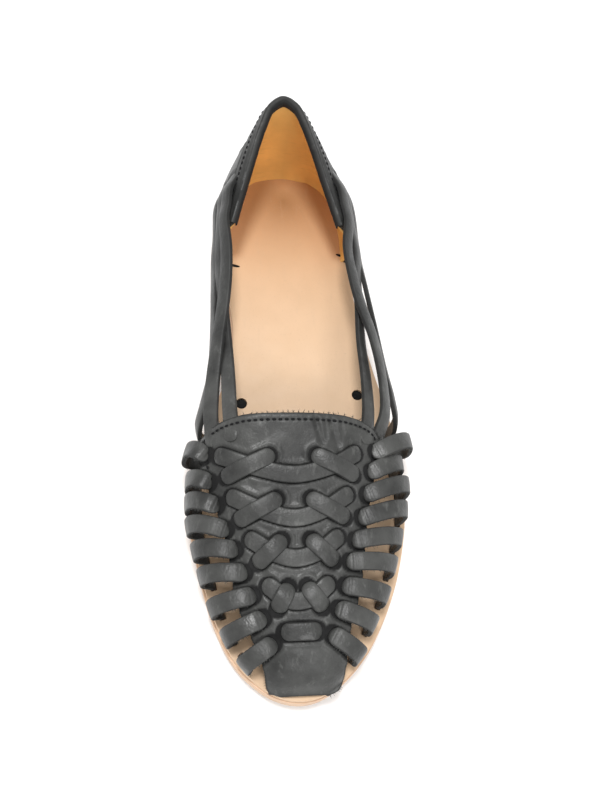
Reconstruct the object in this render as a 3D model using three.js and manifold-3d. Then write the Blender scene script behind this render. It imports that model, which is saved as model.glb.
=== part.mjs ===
// A woman's flat woven huarache sandal, left shoe, standing on its sole.
// Millimetres. +Z up, toe towards -Y, heel towards +Y, the medial side towards -X.
// "at" is the distance back from the toe tip; "height" is measured above the foot bed under the ball.
import * as THREE from "three";
import { mergeVertices } from "three/addons/utils/BufferGeometryUtils.js";
import Module from "manifold-3d";

// ---------------------------------------------------------------- driving sizes
const LENGTH = 248;
const BALL_WIDTH = 92;
const INSTEP = 42;
const HEEL_RISE = 6;
const TOE_SPRING = 5;
const OUTSOLE_THICKNESS = 5;
const INSOLE_THICKNESS = 3;
const INSOLE_INSET = 0.8;
const GAP = 0.3;
const PLASTRON_WALL = 2;
const COUNTER_WALL = 2.6;
const THONG_WIDTH = 7;
const THONG_THICKNESS = 2;
const WEAVE_WIDTH = 6.6;
const STRAP_WIDTH = 6;
const STRAP_THICKNESS = 1.9;
const SINK = 0.45;
const HEEL_FRONT = 190;
const GROOVE_DEPTH = 1.4;
const SLOT_DEPTH = 2.4;
const SLOT_TO_EDGE = 3.9;
const FOOT_TUCK = 1.6;
const SHOULDER = 5;
const TOE_CURVE_AT = 42;
const THREAD_HOLE_RADIUS = 2.5;
const CRUMB = 1;
const THREAD_HOLES = [{ at: 124, x: -23.2 }, { at: 128, x: 28.6 }];
const HALF_BALL = BALL_WIDTH / 2;
const BED = OUTSOLE_THICKNESS + GAP + INSOLE_THICKNESS;
const CENTRE_AT = LENGTH / 2;
const CENTRE_X = -0.62;

// ---------------------------------------------------------------- tables
// Sole outline: at is a part of LENGTH, medial and lateral are parts of half the ball width.
const OUTLINE = [
  { at: 0.004, medial: 0.214, lateral: 0.066 },
  { at: 0.016, medial: 0.36, lateral: 0.204 },
  { at: 0.038, medial: 0.51, lateral: 0.36 },
  { at: 0.06, medial: 0.615, lateral: 0.478 },
  { at: 0.083, medial: 0.69, lateral: 0.572 },
  { at: 0.129, medial: 0.796, lateral: 0.717 },
  { at: 0.177, medial: 0.874, lateral: 0.833 },
  { at: 0.226, medial: 0.935, lateral: 0.917 },
  { at: 0.274, medial: 0.985, lateral: 0.974 },
  { at: 0.323, medial: 1.0, lateral: 1.0 },
  { at: 0.363, medial: 0.99, lateral: 1.0 },
  { at: 0.403, medial: 0.946, lateral: 0.989 },
  { at: 0.484, medial: 0.783, lateral: 0.92 },
  { at: 0.56, medial: 0.643, lateral: 0.817 },
  { at: 0.637, medial: 0.585, lateral: 0.728 },
  { at: 0.714, medial: 0.628, lateral: 0.667 },
  { at: 0.782, medial: 0.667, lateral: 0.646 },
  { at: 0.851, medial: 0.667, lateral: 0.624 },
  { at: 0.907, medial: 0.609, lateral: 0.572 },
  { at: 0.948, medial: 0.514, lateral: 0.478 },
  { at: 0.98, medial: 0.352, lateral: 0.317 },
  { at: 0.996, medial: 0.175, lateral: 0.14 },
];
const TOE_TIP_X = -3.4;
const HEEL_TIP_X = -0.8;

// Side view of the foot bed: spring is a part of TOE_SPRING, rise a part of HEEL_RISE.
const PROFILE = [
  { at: 0, spring: 1, rise: 0 },
  { at: 20, spring: 0.5, rise: 0 },
  { at: 40, spring: 0.12, rise: 0 },
  { at: 58, spring: 0, rise: 0 },
  { at: 104, spring: 0, rise: 0 },
  { at: 125, spring: 0, rise: 0.13 },
  { at: 150, spring: 0, rise: 0.42 },
  { at: 175, spring: 0, rise: 0.75 },
  { at: 200, spring: 0, rise: 0.95 },
  { at: 222, spring: 0, rise: 1 },
  { at: 250, spring: 0, rise: 1 },
];

// The last: crown is the ridge height as a part of INSTEP, crest the ridge's x,
// the insets how far its sides stand inside the sole edge, medialPower how square the medial side is.
const LAST = [
  { at: 0, crown: 0.02, crest: -2.8, medialInset: 0.5, lateralInset: 0.5, medialPower: 2.5 },
  { at: 3, crown: 0.065, crest: -3, medialInset: 0.8, lateralInset: 0.8, medialPower: 2.5 },
  { at: 6, crown: 0.16, crest: -3.2, medialInset: 1.5, lateralInset: 1.5, medialPower: 2.5 },
  { at: 10, crown: 0.255, crest: -3.5, medialInset: 2.5, lateralInset: 2.5, medialPower: 2.5 },
  { at: 15, crown: 0.333, crest: -3.9, medialInset: 3.3, lateralInset: 3.3, medialPower: 2.5 },
  { at: 25, crown: 0.43, crest: -4.5, medialInset: 4, lateralInset: 4, medialPower: 2.5 },
  { at: 40, crown: 0.543, crest: -5.3, medialInset: 2.8, lateralInset: 4, medialPower: 2.5 },
  { at: 60, crown: 0.667, crest: -5.9, medialInset: 1.2, lateralInset: 4, medialPower: 2.75 },
  { at: 80, crown: 0.81, crest: -7, medialInset: -0.5, lateralInset: 4, medialPower: 3 },
  { at: 103, crown: 1, crest: -7.8, medialInset: -2.5, lateralInset: 4, medialPower: 3 },
  { at: 116, crown: 1.09, crest: -8, medialInset: -2.5, lateralInset: 4, medialPower: 3 },
];
const LATERAL_POWER = 2.5;
const MEDIAL_ROOT = 0.5;
const LATERAL_ROOT = 0.555;

// Cut edge of the plastron, the solid front piece, from its toe tab to its top edge.
const PLASTRON = [
  { at: 2.4, medial: -12, lateral: 6.6 },
  { at: 4.2, medial: -16.2, lateral: 10.6 },
  { at: 6.5, medial: -17.2, lateral: 12 },
  { at: 9.5, medial: -17.8, lateral: 12.7 },
  { at: 14, medial: -18.8, lateral: 13.1 },
  { at: 19, medial: -20.8, lateral: 13.5 },
  { at: 25.5, medial: -23.6, lateral: 14.9 },
  { at: 32, medial: -26.4, lateral: 17.1 },
  { at: 41, medial: -29, lateral: 19.8 },
  { at: 51, medial: -30.4, lateral: 21.5 },
  { at: 58, medial: -31.9, lateral: 22.3 },
  { at: 66, medial: -34.2, lateral: 23.6 },
  { at: 75.5, medial: -37.6, lateral: 25.8 },
  { at: 86, medial: -41, lateral: 28.6 },
  { at: 93.5, medial: -42.4, lateral: 30.4 },
  { at: 97.5, medial: -41.8, lateral: 30 },
  { at: 100, medial: -39, lateral: 27.6 },
  { at: 101.6, medial: -34, lateral: 22.5 },
  { at: 102.4, medial: -25, lateral: 14.5 },
];

// The loops of thong along each side, from the slot in the plastron out over the edge and down.
const LOOPS = [
  { side: -1, at: 90.6, x: -39.3, outAt: 96.5, outX: -47.3 },
  { side: -1, at: 80, x: -38, outAt: 84.6, outX: -46.7 },
  { side: -1, at: 70.9, x: -35.3, outAt: 76, outX: -47 },
  { side: -1, at: 61.7, x: -31.8, outAt: 67, outX: -46.6 },
  { side: -1, at: 54.2, x: -28.5, outAt: 57, outX: -44.3 },
  { side: -1, at: 45.7, x: -25.2, outAt: 47, outX: -41.8 },
  { side: -1, at: 37.5, x: -22.2, outAt: 34.6, outX: -38 },
  { side: -1, at: 29.2, x: -18.6, outAt: 23.6, outX: -32.9 },
  { side: -1, at: 20.3, x: -15, outAt: 13.4, outX: -26.2 },
  { side: 1, at: 90.7, x: 27.8, outAt: 100, outX: 47 },
  { side: 1, at: 82.5, x: 25.4, outAt: 90.2, outX: 42.2 },
  { side: 1, at: 73.8, x: 23.2, outAt: 81.4, outX: 44.6 },
  { side: 1, at: 64.9, x: 20.7, outAt: 71.4, outX: 43 },
  { side: 1, at: 56.5, x: 17.7, outAt: 59.8, outX: 39.8 },
  { side: 1, at: 48.6, x: 15.2, outAt: 48.7, outX: 36.2 },
  { side: 1, at: 39.8, x: 13, outAt: 37, outX: 31.9 },
  { side: 1, at: 31.6, x: 10, outAt: 26.1, outX: 25.6 },
  { side: 1, at: 22.7, x: 7.4, outAt: 14.8, outX: 19.2 },
];

// Four rows of weave on the plastron: a band that dips through the middle, and two stitches crossing it.
const WEAVE = [
  { armAt: 88.8, armMedial: -34, armLateral: 19, dipAt: 80, highAt: 86.8, highMedial: -15.4,
    highLateral: 2.8, lowAt: 80.6, lowMedial: -31.2, lowLateral: 17.8 },
  { armAt: 73.2, armMedial: -29.6, armLateral: 15.2, dipAt: 64.3, highAt: 71.2, highMedial: -12.7,
    highLateral: 0.4, lowAt: 64.6, lowMedial: -26.6, lowLateral: 13.5 },
  { armAt: 57.5, armMedial: -22.8, armLateral: 10.9, dipAt: 49.8, highAt: 56.5, highMedial: -11,
    highLateral: 0, lowAt: 48.7, lowMedial: -20, lowLateral: 8.6 },
  { armAt: 40.5, armMedial: -16.6, armLateral: 6.6, dipAt: 34.6, highAt: 39.6, highMedial: -8.9,
    highLateral: -1.9, lowAt: 32.2, lowMedial: -13, lowLateral: 3.8 },
];
const WEAVE_MIDDLE_X = -5.8;
const TOE_STITCH = { at: 24, medial: -10.4, lateral: 1.6 };

// The counter round the heel, half of it from its front edge to the back seam.
const COUNTER = [
  { lowAt: 195, lowHalf: 28, midAt: 195, midHalf: 31, topAt: 197.5, topHalf: 24.6, topHeight: 31 },
  { lowAt: 206, lowHalf: 28.1, midAt: 206.5, midHalf: 31, topAt: 206.5, topHalf: 21.4, topHeight: 35 },
  { lowAt: 217, lowHalf: 27.3, midAt: 218, midHalf: 30, topAt: 216, topHalf: 18, topHeight: 39.5 },
  { lowAt: 228, lowHalf: 24.9, midAt: 229.5, midHalf: 26.8, topAt: 226, topHalf: 14.2, topHeight: 46 },
  { lowAt: 236.8, lowHalf: 20, midAt: 239, midHalf: 21, topAt: 235, topHalf: 10.4, topHeight: 51.5 },
  { lowAt: 242.5, lowHalf: 12.6, midAt: 245, midHalf: 12.8, topAt: 241.8, topHalf: 6.2, topHeight: 56 },
  { lowAt: 244.8, lowHalf: 0, midAt: 247.2, midHalf: 0, topAt: 244.4, topHalf: 0, topHeight: 58 },
];
const BACK_SEAM = COUNTER.length - 1;
const COUNTER_MID = 0.42;
const COUNTER_MID_HEIGHT = 16;
const COUNTER_MID_RISE = 0.8;
const LEAN_FOOT_X = -0.5;
const LEAN_PER_HEIGHT = -0.075;

// Side straps, three on each side, heel end first. station and level place the slot on the counter,
// frontLevel where the strap leaves the counter's front, lift how far it rides over its neighbour;
// the route then runs forward; flat is 0 where the strap stands on edge and 1 where it lies flat.
const STRAPS = [
  { side: -1, station: 2.35, level: 0.84, frontLevel: 0.92, lift: 1.1, route: [
    { at: 184, x: -29.8, height: 30.2, flat: 0.4 }, { at: 170, x: -30.2, height: 28.6, flat: 0.45 },
    { at: 157, x: -31.6, height: 27.4, flat: 0.5 }, { at: 143, x: -33.6, height: 26, flat: 0.5 },
    { at: 125, x: -35.9, height: 25, flat: 0.7 }, { at: 109, x: -37, height: 26.6, flat: 0.8 },
    { at: 99, x: -36.8, height: 28.4, flat: 0.6 }, { at: 93, x: -36.5, height: 29, flat: 0.45 } ] },
  { side: -1, station: 2.2, level: 0.7, frontLevel: 0.79, lift: 0.2, route: [
    { at: 186, x: -32.4, height: 26, flat: 0.3 }, { at: 171, x: -32.2, height: 25.4, flat: 0.3 },
    { at: 157, x: -31.4, height: 25, flat: 0.3 }, { at: 142, x: -30.6, height: 25.6, flat: 0.4 },
    { at: 124, x: -30, height: 28, flat: 0.6 }, { at: 109, x: -29.8, height: 31.2, flat: 0.75 },
    { at: 99, x: -29.5, height: 34.6, flat: 0.7 }, { at: 93, x: -29.4, height: 34.1, flat: 0.7 } ] },
  { side: -1, station: 2.05, level: 0.54, frontLevel: 0.58, lift: 0, route: [
    { at: 186, x: -34.4, height: 20.8, flat: 0.1 }, { at: 170, x: -34.8, height: 20.9, flat: 0.05 },
    { at: 150, x: -35.2, height: 20.6, flat: 0.05 }, { at: 130, x: -36.4, height: 19.8, flat: 0.1 },
    { at: 115.5, x: -39.6, height: 17.8, flat: 0.15 }, { at: 107.8, x: -41.8, height: 13, flat: 0.1 },
    { at: 105.1, x: -40.6, height: 5.5, flat: 0 }, { at: 104.9, x: -38.5, height: -2.2, flat: 0 } ] },
  { side: 1, station: 2.6, level: 0.84, frontLevel: 0.92, lift: 1.1, route: [
    { at: 186, x: 23.6, height: 30.4, flat: 0.4 }, { at: 173, x: 25, height: 29, flat: 0.45 },
    { at: 159, x: 27.6, height: 28, flat: 0.5 }, { at: 143, x: 32, height: 26.6, flat: 0.4 },
    { at: 122, x: 34.6, height: 25, flat: 0.35 }, { at: 109, x: 34.2, height: 24, flat: 0.4 },
    { at: 99, x: 30.2, height: 24.9, flat: 0.45 }, { at: 93, x: 28, height: 27, flat: 0.45 } ] },
  { side: 1, station: 2.6, level: 0.7, frontLevel: 0.79, lift: 0.2, route: [
    { at: 187, x: 28.6, height: 25.2, flat: 0.3 }, { at: 173, x: 27.6, height: 25.4, flat: 0.3 },
    { at: 159, x: 27.5, height: 24.6, flat: 0.3 }, { at: 143, x: 27, height: 24.4, flat: 0.35 },
    { at: 124, x: 27.2, height: 26.2, flat: 0.45 }, { at: 109, x: 26.6, height: 27.4, flat: 0.55 },
    { at: 99, x: 24.6, height: 29.9, flat: 0.6 }, { at: 93, x: 22.5, height: 31, flat: 0.6 } ] },
  { side: 1, station: 2.6, level: 0.54, frontLevel: 0.58, lift: 0, route: [
    { at: 187, x: 30.1, height: 21.2, flat: 0.15 }, { at: 172, x: 32, height: 20.9, flat: 0.05 },
    { at: 151, x: 34.6, height: 20.6, flat: 0.05 }, { at: 132, x: 37, height: 19.8, flat: 0.1 },
    { at: 118.4, x: 39.6, height: 17.8, flat: 0.15 }, { at: 111.2, x: 41.4, height: 13, flat: 0.1 },
    { at: 108.7, x: 41.3, height: 5.5, flat: 0 }, { at: 108.5, x: 39.5, height: -2.2, flat: 0 } ] },
];

// ---------------------------------------------------------------- reading the tables
// A smooth reading of one column, by a cubic through the rows with bounded slopes.
function read(table, column, at, key = "at") {
  const last = table.length - 1;
  if (at <= table[0][key]) return table[0][column];
  if (at >= table[last][key]) return table[last][column];
  let i = 0;
  while (at > table[i + 1][key]) i++;
  const rise = (j) => (table[j + 1][column] - table[j][column]) / (table[j + 1][key] - table[j][key]);
  const slope = (j) => {
    if (j === 0) return rise(0);
    if (j === last) return rise(last - 1);
    const before = rise(j - 1);
    const after = rise(j);
    return before * after <= 0 ? 0 : (2 * before * after) / (before + after);
  };
  const span = table[i + 1][key] - table[i][key];
  const t = (at - table[i][key]) / span;
  const a = table[i][column];
  const b = table[i + 1][column];
  const hermite = a * (1 + 2 * t) * (1 - t) ** 2 + b * t * t * (3 - 2 * t);
  return hermite + span * (slope(i) * t * (1 - t) ** 2 + slope(i + 1) * t * t * (t - 1));
}

// The closed sole outline, as points with y for "at".
function outlineCurve() {
  const lateral = OUTLINE.map((r) => new THREE.Vector3(r.lateral * HALF_BALL, r.at * LENGTH, 0));
  const medial = OUTLINE.map((r) => new THREE.Vector3(-r.medial * HALF_BALL, r.at * LENGTH, 0));
  const toe = new THREE.Vector3(TOE_TIP_X, 0, 0);
  const heel = new THREE.Vector3(HEEL_TIP_X, LENGTH, 0);
  return new THREE.CatmullRomCurve3([toe, ...lateral, heel, ...medial.reverse()], true, "centripetal");
}
const OUTLINE_POINTS = outlineCurve().getPoints(420);

// x of the sole edge on one side at a distance from the toe; side is -1 medial, +1 lateral.
function edgeX(side, at) {
  let best = null;
  for (let i = 0; i < OUTLINE_POINTS.length - 1; i++) {
    const a = OUTLINE_POINTS[i];
    const b = OUTLINE_POINTS[i + 1];
    if ((a.y - at) * (b.y - at) > 0 || a.y === b.y) continue;
    const x = a.x + ((b.x - a.x) * (at - a.y)) / (b.y - a.y);
    if (best === null || x * side > best * side) best = x;
  }
  return best;
}

// Shortest way from a place on the sole to its edge.
function edgeDistance(at, x) {
  return Math.min(...OUTLINE_POINTS.map((p) => Math.hypot(p.y - at, p.x - x)));
}

// The way straight out of the sole's edge, at the edge nearest to a place.
function outward(at, x) {
  const away = OUTLINE_POINTS.map((p) => Math.hypot(p.y - at, p.x - x));
  const i = away.indexOf(Math.min(...away));
  const count = OUTLINE_POINTS.length - 1;
  const before = OUTLINE_POINTS[(i - 2 + count) % count];
  const after = OUTLINE_POINTS[(i + 2) % count];
  return new THREE.Vector3(after.y - before.y, before.x - after.x, 0).normalize();
}

const bedHeight = (at) => TOE_SPRING * read(PROFILE, "spring", at) + HEEL_RISE * read(PROFILE, "rise", at);

// Outer face of the leather over the last, as a height above the ball's foot bed.
function lastHeight(at, x) {
  const crest = read(LAST, "crest", at);
  const medial = x < crest;
  const inset = read(LAST, medial ? "medialInset" : "lateralInset", at);
  const edge = medial ? edgeX(-1, at) + inset : edgeX(1, at) - inset;
  const power = medial ? read(LAST, "medialPower", at) : LATERAL_POWER;
  const root = medial ? MEDIAL_ROOT : LATERAL_ROOT;
  const across = Math.min(1, Math.abs((x - crest) / (edge - crest)));
  return bedHeight(at) + INSTEP * read(LAST, "crown", at) * (1 - across ** power) ** root;
}

const place = (at, x, height) => new THREE.Vector3(x - CENTRE_X, at - CENTRE_AT, height + BED);

function lastNormal(at, x) {
  const step = 0.4;
  const acrossSlope = (lastHeight(at, x + step) - lastHeight(at, x - step)) / (2 * step);
  const alongSlope = (lastHeight(at + step, x) - lastHeight(at - step, x)) / (2 * step);
  return new THREE.Vector3(-acrossSlope, -alongSlope, 1).normalize();
}

function onLast(at, x, lift) {
  return place(at, x, lastHeight(at, x)).addScaledVector(lastNormal(at, x), lift);
}

// ---------------------------------------------------------------- solids
// A closed wall between two faces given as rows of points; both have the same rows and columns.
function wall(outer, inner) {
  const rows = outer.length;
  const columns = outer[0].length;
  const points = [...outer.flat(), ...inner.flat()];
  const half = rows * columns;
  const index = [];
  const quad = (a, b, c, d) => index.push(a, b, c, a, c, d);
  for (let i = 0; i < rows - 1; i++) {
    for (let j = 0; j < columns - 1; j++) {
      const a = i * columns + j;
      quad(a, a + 1, a + columns + 1, a + columns);
      quad(half + a, half + a + columns, half + a + columns + 1, half + a + 1);
    }
    const left = i * columns;
    const right = left + columns - 1;
    quad(left, left + columns, half + left + columns, half + left);
    quad(right, half + right, half + right + columns, right + columns);
  }
  for (let j = 0; j < columns - 1; j++) {
    const front = j;
    const back = (rows - 1) * columns + j;
    quad(front, half + front, half + front + 1, front + 1);
    quad(back, back + 1, half + back + 1, half + back);
  }
  const geometry = new THREE.BufferGeometry();
  geometry.setAttribute("position", new THREE.Float32BufferAttribute(points.flatMap((p) => p.toArray()), 3));
  geometry.setIndex(index);
  return facingOut(geometry);
}

function facingOut(geometry) {
  const p = geometry.attributes.position;
  const index = geometry.index.array;
  const corner = [new THREE.Vector3(), new THREE.Vector3(), new THREE.Vector3()];
  let volume = 0;
  for (let i = 0; i < index.length; i += 3) {
    corner.forEach((v, k) => v.fromBufferAttribute(p, index[i + k]));
    volume += corner[0].dot(corner[1].clone().cross(corner[2]));
  }
  if (volume > 0) return geometry;
  const turned = [];
  for (let i = 0; i < index.length; i += 3) turned.push(index[i], index[i + 2], index[i + 1]);
  geometry.setIndex(turned);
  return geometry;
}

const wasm = await Module();
wasm.setup();

function toSolid(geometry) {
  const bare = geometry.clone();
  bare.deleteAttribute("normal");
  bare.deleteAttribute("uv");
  const merged = mergeVertices(bare, 1e-4);
  return new wasm.Manifold(new wasm.Mesh({
    numProp: 3,
    vertProperties: new Float32Array(merged.attributes.position.array),
    triVerts: new Uint32Array(merged.index.array),
  }));
}

// A solid as one body. A union can leave a crumb where two straps graze each other, and that is left
// out, but a whole piece that has come loose stops the build.
function toGeometry(solid) {
  const [body, ...crumbs] = solid.decompose().sort((a, b) => b.volume() - a.volume());
  for (const crumb of crumbs) {
    if (crumb.volume() > CRUMB) throw new Error(`a piece of ${crumb.volume().toFixed(0)} mm3 isn't joined`);
  }
  const mesh = body.getMesh();
  const geometry = new THREE.BufferGeometry();
  geometry.setAttribute("position", new THREE.BufferAttribute(new Float32Array(mesh.vertProperties), 3));
  geometry.setIndex(new THREE.BufferAttribute(new Uint32Array(mesh.triVerts), 1));
  geometry.computeVertexNormals();
  return geometry;
}

// A flat strap along a route of { point, up, width }; up is the direction its face looks.
function ribbon(route, thickness, steps, grow = 0) {
  const curve = new THREE.CatmullRomCurve3(route.map((r) => r.point), false, "centripetal");
  const outer = [];
  const inner = [];
  for (let i = 0; i <= steps; i++) {
    const t = i / steps;
    const k = Math.min(Math.floor(t * (route.length - 1)), route.length - 2);
    const f = t * (route.length - 1) - k;
    const along = curve.getTangent(t);
    const up = route[k].up.clone().lerp(route[k + 1].up, f);
    up.addScaledVector(along, -up.dot(along)).normalize();
    const across = along.clone().cross(up);
    const reach = THREE.MathUtils.lerp(route[k].width, route[k + 1].width, f) / 2 + grow;
    const lift = thickness / 2 + grow;
    const p = curve.getPoint(t);
    const corner = (side, height) => p.clone()
      .addScaledVector(across, side * reach)
      .addScaledVector(up, height);
    outer.push([corner(-1, lift), corner(1, lift)]);
    inner.push([corner(-1, -lift), corner(1, -lift)]);
  }
  return wall(outer, inner);
}

// Rows across the sole between two distances, closer together at the round ends.
const FROM_TIP = [0.06, 0.7, 2.2, 4.6, 8, 12.5, 18, 25, 33, 42, 51, 58];
const MIDDLE_FROM = 69;
const MIDDLE_TO = 184;
const MIDDLE_STEP = 9.5;
function soleRows(from, to, inset) {
  const rows = [...FROM_TIP];
  for (let at = MIDDLE_FROM; at < MIDDLE_TO; at += MIDDLE_STEP) rows.push(at);
  rows.push(...FROM_TIP.map((d) => LENGTH - d).reverse());
  const inside = rows.filter((at) => at > from + 0.5 && at < to - 0.5);
  const edges = (at) => ({ medial: insetEdge(-1, at, inset), lateral: insetEdge(1, at, inset) });
  return [from, ...inside, to].map((at) => ({ at, ...edges(at) }));
}

// The sole edge moved inwards square to itself, as x at one distance from the toe.
function insetEdge(side, at, inset) {
  const shrink = 1 - (2 * inset) / LENGTH;
  const source = CENTRE_AT + (at - CENTRE_AT) / shrink;
  const clamped = Math.min(Math.max(source, 0.04), LENGTH - 0.04);
  const behind = Math.min(clamped + 0.5, LENGTH - 0.02);
  const ahead = Math.max(clamped - 0.5, 0.02);
  const slope = edgeX(side, behind) - edgeX(side, ahead);
  const middle = read([{ at: 0, x: TOE_TIP_X }, { at: LENGTH, x: HEEL_TIP_X }], "x", clamped);
  const reach = Math.abs(edgeX(side, clamped) - middle);
  const square = Math.min(Math.hypot(1, slope), 1.6);
  return middle + side * Math.max(reach - inset * square, 0.3 * reach);
}

function slab(rows, columns, topOf, bottomOf, bottomInset = 0) {
  const across = (row, j, pull) => {
    const left = row.medial + pull;
    const right = row.lateral - pull;
    return left + ((right - left) * j) / columns;
  };
  const face = (heightOf, pull) => rows.map((row) => {
    const width = row.lateral - row.medial;
    const inward = Math.min(pull, width * 0.12);
    const column = (_, j) => place(row.at, across(row, j, inward), heightOf(row.at));
    return Array.from({ length: columns + 1 }, column);
  });
  return wall(face(topOf, 0), face(bottomOf, bottomInset));
}

// ---------------------------------------------------------------- sole
const outsoleTop = (at) => bedHeight(at) - INSOLE_THICKNESS - GAP;

function makeOutsole() {
  const rows = soleRows(0.06, LENGTH - 0.06, 0);
  return slab(rows, 4, outsoleTop, (at) => outsoleTop(at) - OUTSOLE_THICKNESS, 1);
}

function makeHeel() {
  const rows = soleRows(HEEL_FRONT, LENGTH - 1.2, 1);
  const top = (at) => outsoleTop(at) - OUTSOLE_THICKNESS - GAP;
  return slab(rows, 4, top, () => -BED, 0.8);
}

// Foot of a loop: its outermost place moved inwards, square to the edge, until the insole can hold its slot.
function loopFoot(loop) {
  const inward = new THREE.Vector2(Math.max(TOE_CURVE_AT - loop.outAt, 0), -loop.outX).normalize();
  let pull = FOOT_TUCK;
  const moved = () => ({ at: loop.outAt + inward.x * pull, x: loop.outX + inward.y * pull });
  const insideEdge = ({ at, x }) => Math.abs(edgeX(loop.side, at)) > Math.abs(x) ? edgeDistance(at, x) : 0;
  while (insideEdge(moved()) < SLOT_TO_EDGE) pull += 0.1;
  return moved();
}

// The slot through the insole below a foot.
function well(foot, width) {
  const up = outward(foot.at, foot.x);
  const end = (height) => ({ point: place(foot.at, foot.x, bedHeight(foot.at) + height), up, width });
  return ribbon([end(0.4), end(-INSOLE_THICKNESS - 1)], THONG_THICKNESS, 1, GAP);
}

function makeInsole() {
  const rows = soleRows(INSOLE_INSET, LENGTH - INSOLE_INSET, INSOLE_INSET);
  const top = (at) => bedHeight(at);
  let insole = toSolid(slab(rows, 4, top, (at) => bedHeight(at) - INSOLE_THICKNESS));
  for (const loop of LOOPS) {
    insole = insole.subtract(toSolid(loopRibbon(loop, GAP)));
    insole = insole.subtract(toSolid(well(loopFoot(loop), THONG_WIDTH)));
  }
  for (const strap of STRAPS.filter(reachesInsole)) {
    const foot = strap.route[strap.route.length - 1];
    insole = insole.subtract(toSolid(strapRibbon(strap, GAP))).subtract(toSolid(well(foot, STRAP_WIDTH)));
  }
  insole = insole.subtract(toSolid(counterWall(GAP)));
  for (const hole of THREAD_HOLES) {
    const drill = new THREE.CylinderGeometry(THREAD_HOLE_RADIUS, THREAD_HOLE_RADIUS, 12, 16);
    drill.rotateX(Math.PI / 2);
    const centre = place(hole.at, hole.x, 0);
    drill.translate(centre.x, centre.y, centre.z);
    insole = insole.subtract(toSolid(drill));
  }
  return toGeometry(insole);
}

// ---------------------------------------------------------------- counter
// The half table carried one row past the back seam, so that the back is round.
const COUNTER_ROUND = [...COUNTER, COUNTER[BACK_SEAM - 1]].map((row, k) => {
  const sign = k > BACK_SEAM ? -1 : 1;
  const halves = { lowHalf: sign * row.lowHalf, midHalf: sign * row.midHalf, topHalf: sign * row.topHalf };
  return { ...row, ...halves, at: k };
});

// The counter's outer face at a station (0 front to 6 back seam) and a level (0 foot to 1 top edge).
function counterPoint(side, station, level, deep = 0) {
  const column = (name) => read(COUNTER_ROUND, name, station);
  const lowHeight = bedHeight(column("lowAt")) - GROOVE_DEPTH - deep;
  const bend = (low, mid, top) => {
    const m = COUNTER_MID;
    const a = ((level - m) * (level - 1)) / m;
    const b = (level * (level - 1)) / (m * (m - 1));
    const c = (level * (level - m)) / (1 - m);
    return low * a + mid * b + top * c;
  };
  const height = bend(lowHeight, COUNTER_MID_HEIGHT + station * COUNTER_MID_RISE, column("topHeight"));
  const half = bend(column("lowHalf"), column("midHalf"), column("topHalf"));
  const at = bend(column("lowAt"), column("midAt"), column("topAt"));
  return place(at, LEAN_FOOT_X + LEAN_PER_HEIGHT * height + side * half, height);
}

function counterNormal(side, station, level) {
  const step = 0.05;
  const along = station > 5.9
    ? counterPoint(1, 5.9, level).sub(counterPoint(-1, 5.9, level)).multiplyScalar(-side)
    : counterPoint(side, station + step, level).sub(counterPoint(side, Math.max(station - step, 0), level));
  const up = counterPoint(side, station, level + step).sub(counterPoint(side, station, level - step));
  return along.cross(up).multiplyScalar(side).normalize();
}

function counterWall(grow = 0) {
  const stations = [0, 0.8, 1.6, 2.3, 2.9, 3.5, 4.05, 4.6, 5.1, 5.6];
  const places = [
    ...stations.map((s) => ({ side: -1, station: s })),
    { side: -1, station: 6 },
    ...stations.slice().reverse().map((s) => ({ side: 1, station: s })),
  ];
  const levels = [0, 0.1, 0.22, 0.36, 0.5, 0.65, 0.8, 0.9, 1];
  const face = (depth) => places.map(({ side, station }) => levels.map((level) => {
    const p = counterPoint(side, station, level, grow);
    return p.addScaledVector(counterNormal(side, station, level), depth);
  }));
  return wall(face(grow), face(-COUNTER_WALL - grow));
}

function makeCounter() {
  let counter = toSolid(counterWall());
  for (const strap of STRAPS) counter = counter.subtract(toSolid(strapRibbon(strap, GAP)));
  return toGeometry(counter);
}

// ---------------------------------------------------------------- upper
function makePlastron() {
  const columns = 10;
  const rows = PLASTRON.map((row) => Array.from({ length: columns + 1 }, (_, j) => ({
    at: row.at,
    x: row.medial + ((row.lateral - row.medial) * j) / columns,
  })));
  const face = (lift, clearance) => rows.map((row) => row.map(({ at, x }) => {
    const p = onLast(at, x, lift);
    p.z = Math.max(p.z, BED + bedHeight(p.y + CENTRE_AT) + clearance);
    return p;
  }));
  const outer = face(0, PLASTRON_WALL * 0.7);
  const inner = face(-PLASTRON_WALL, GAP * 1.2);
  return wall(outer, inner);
}

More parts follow.
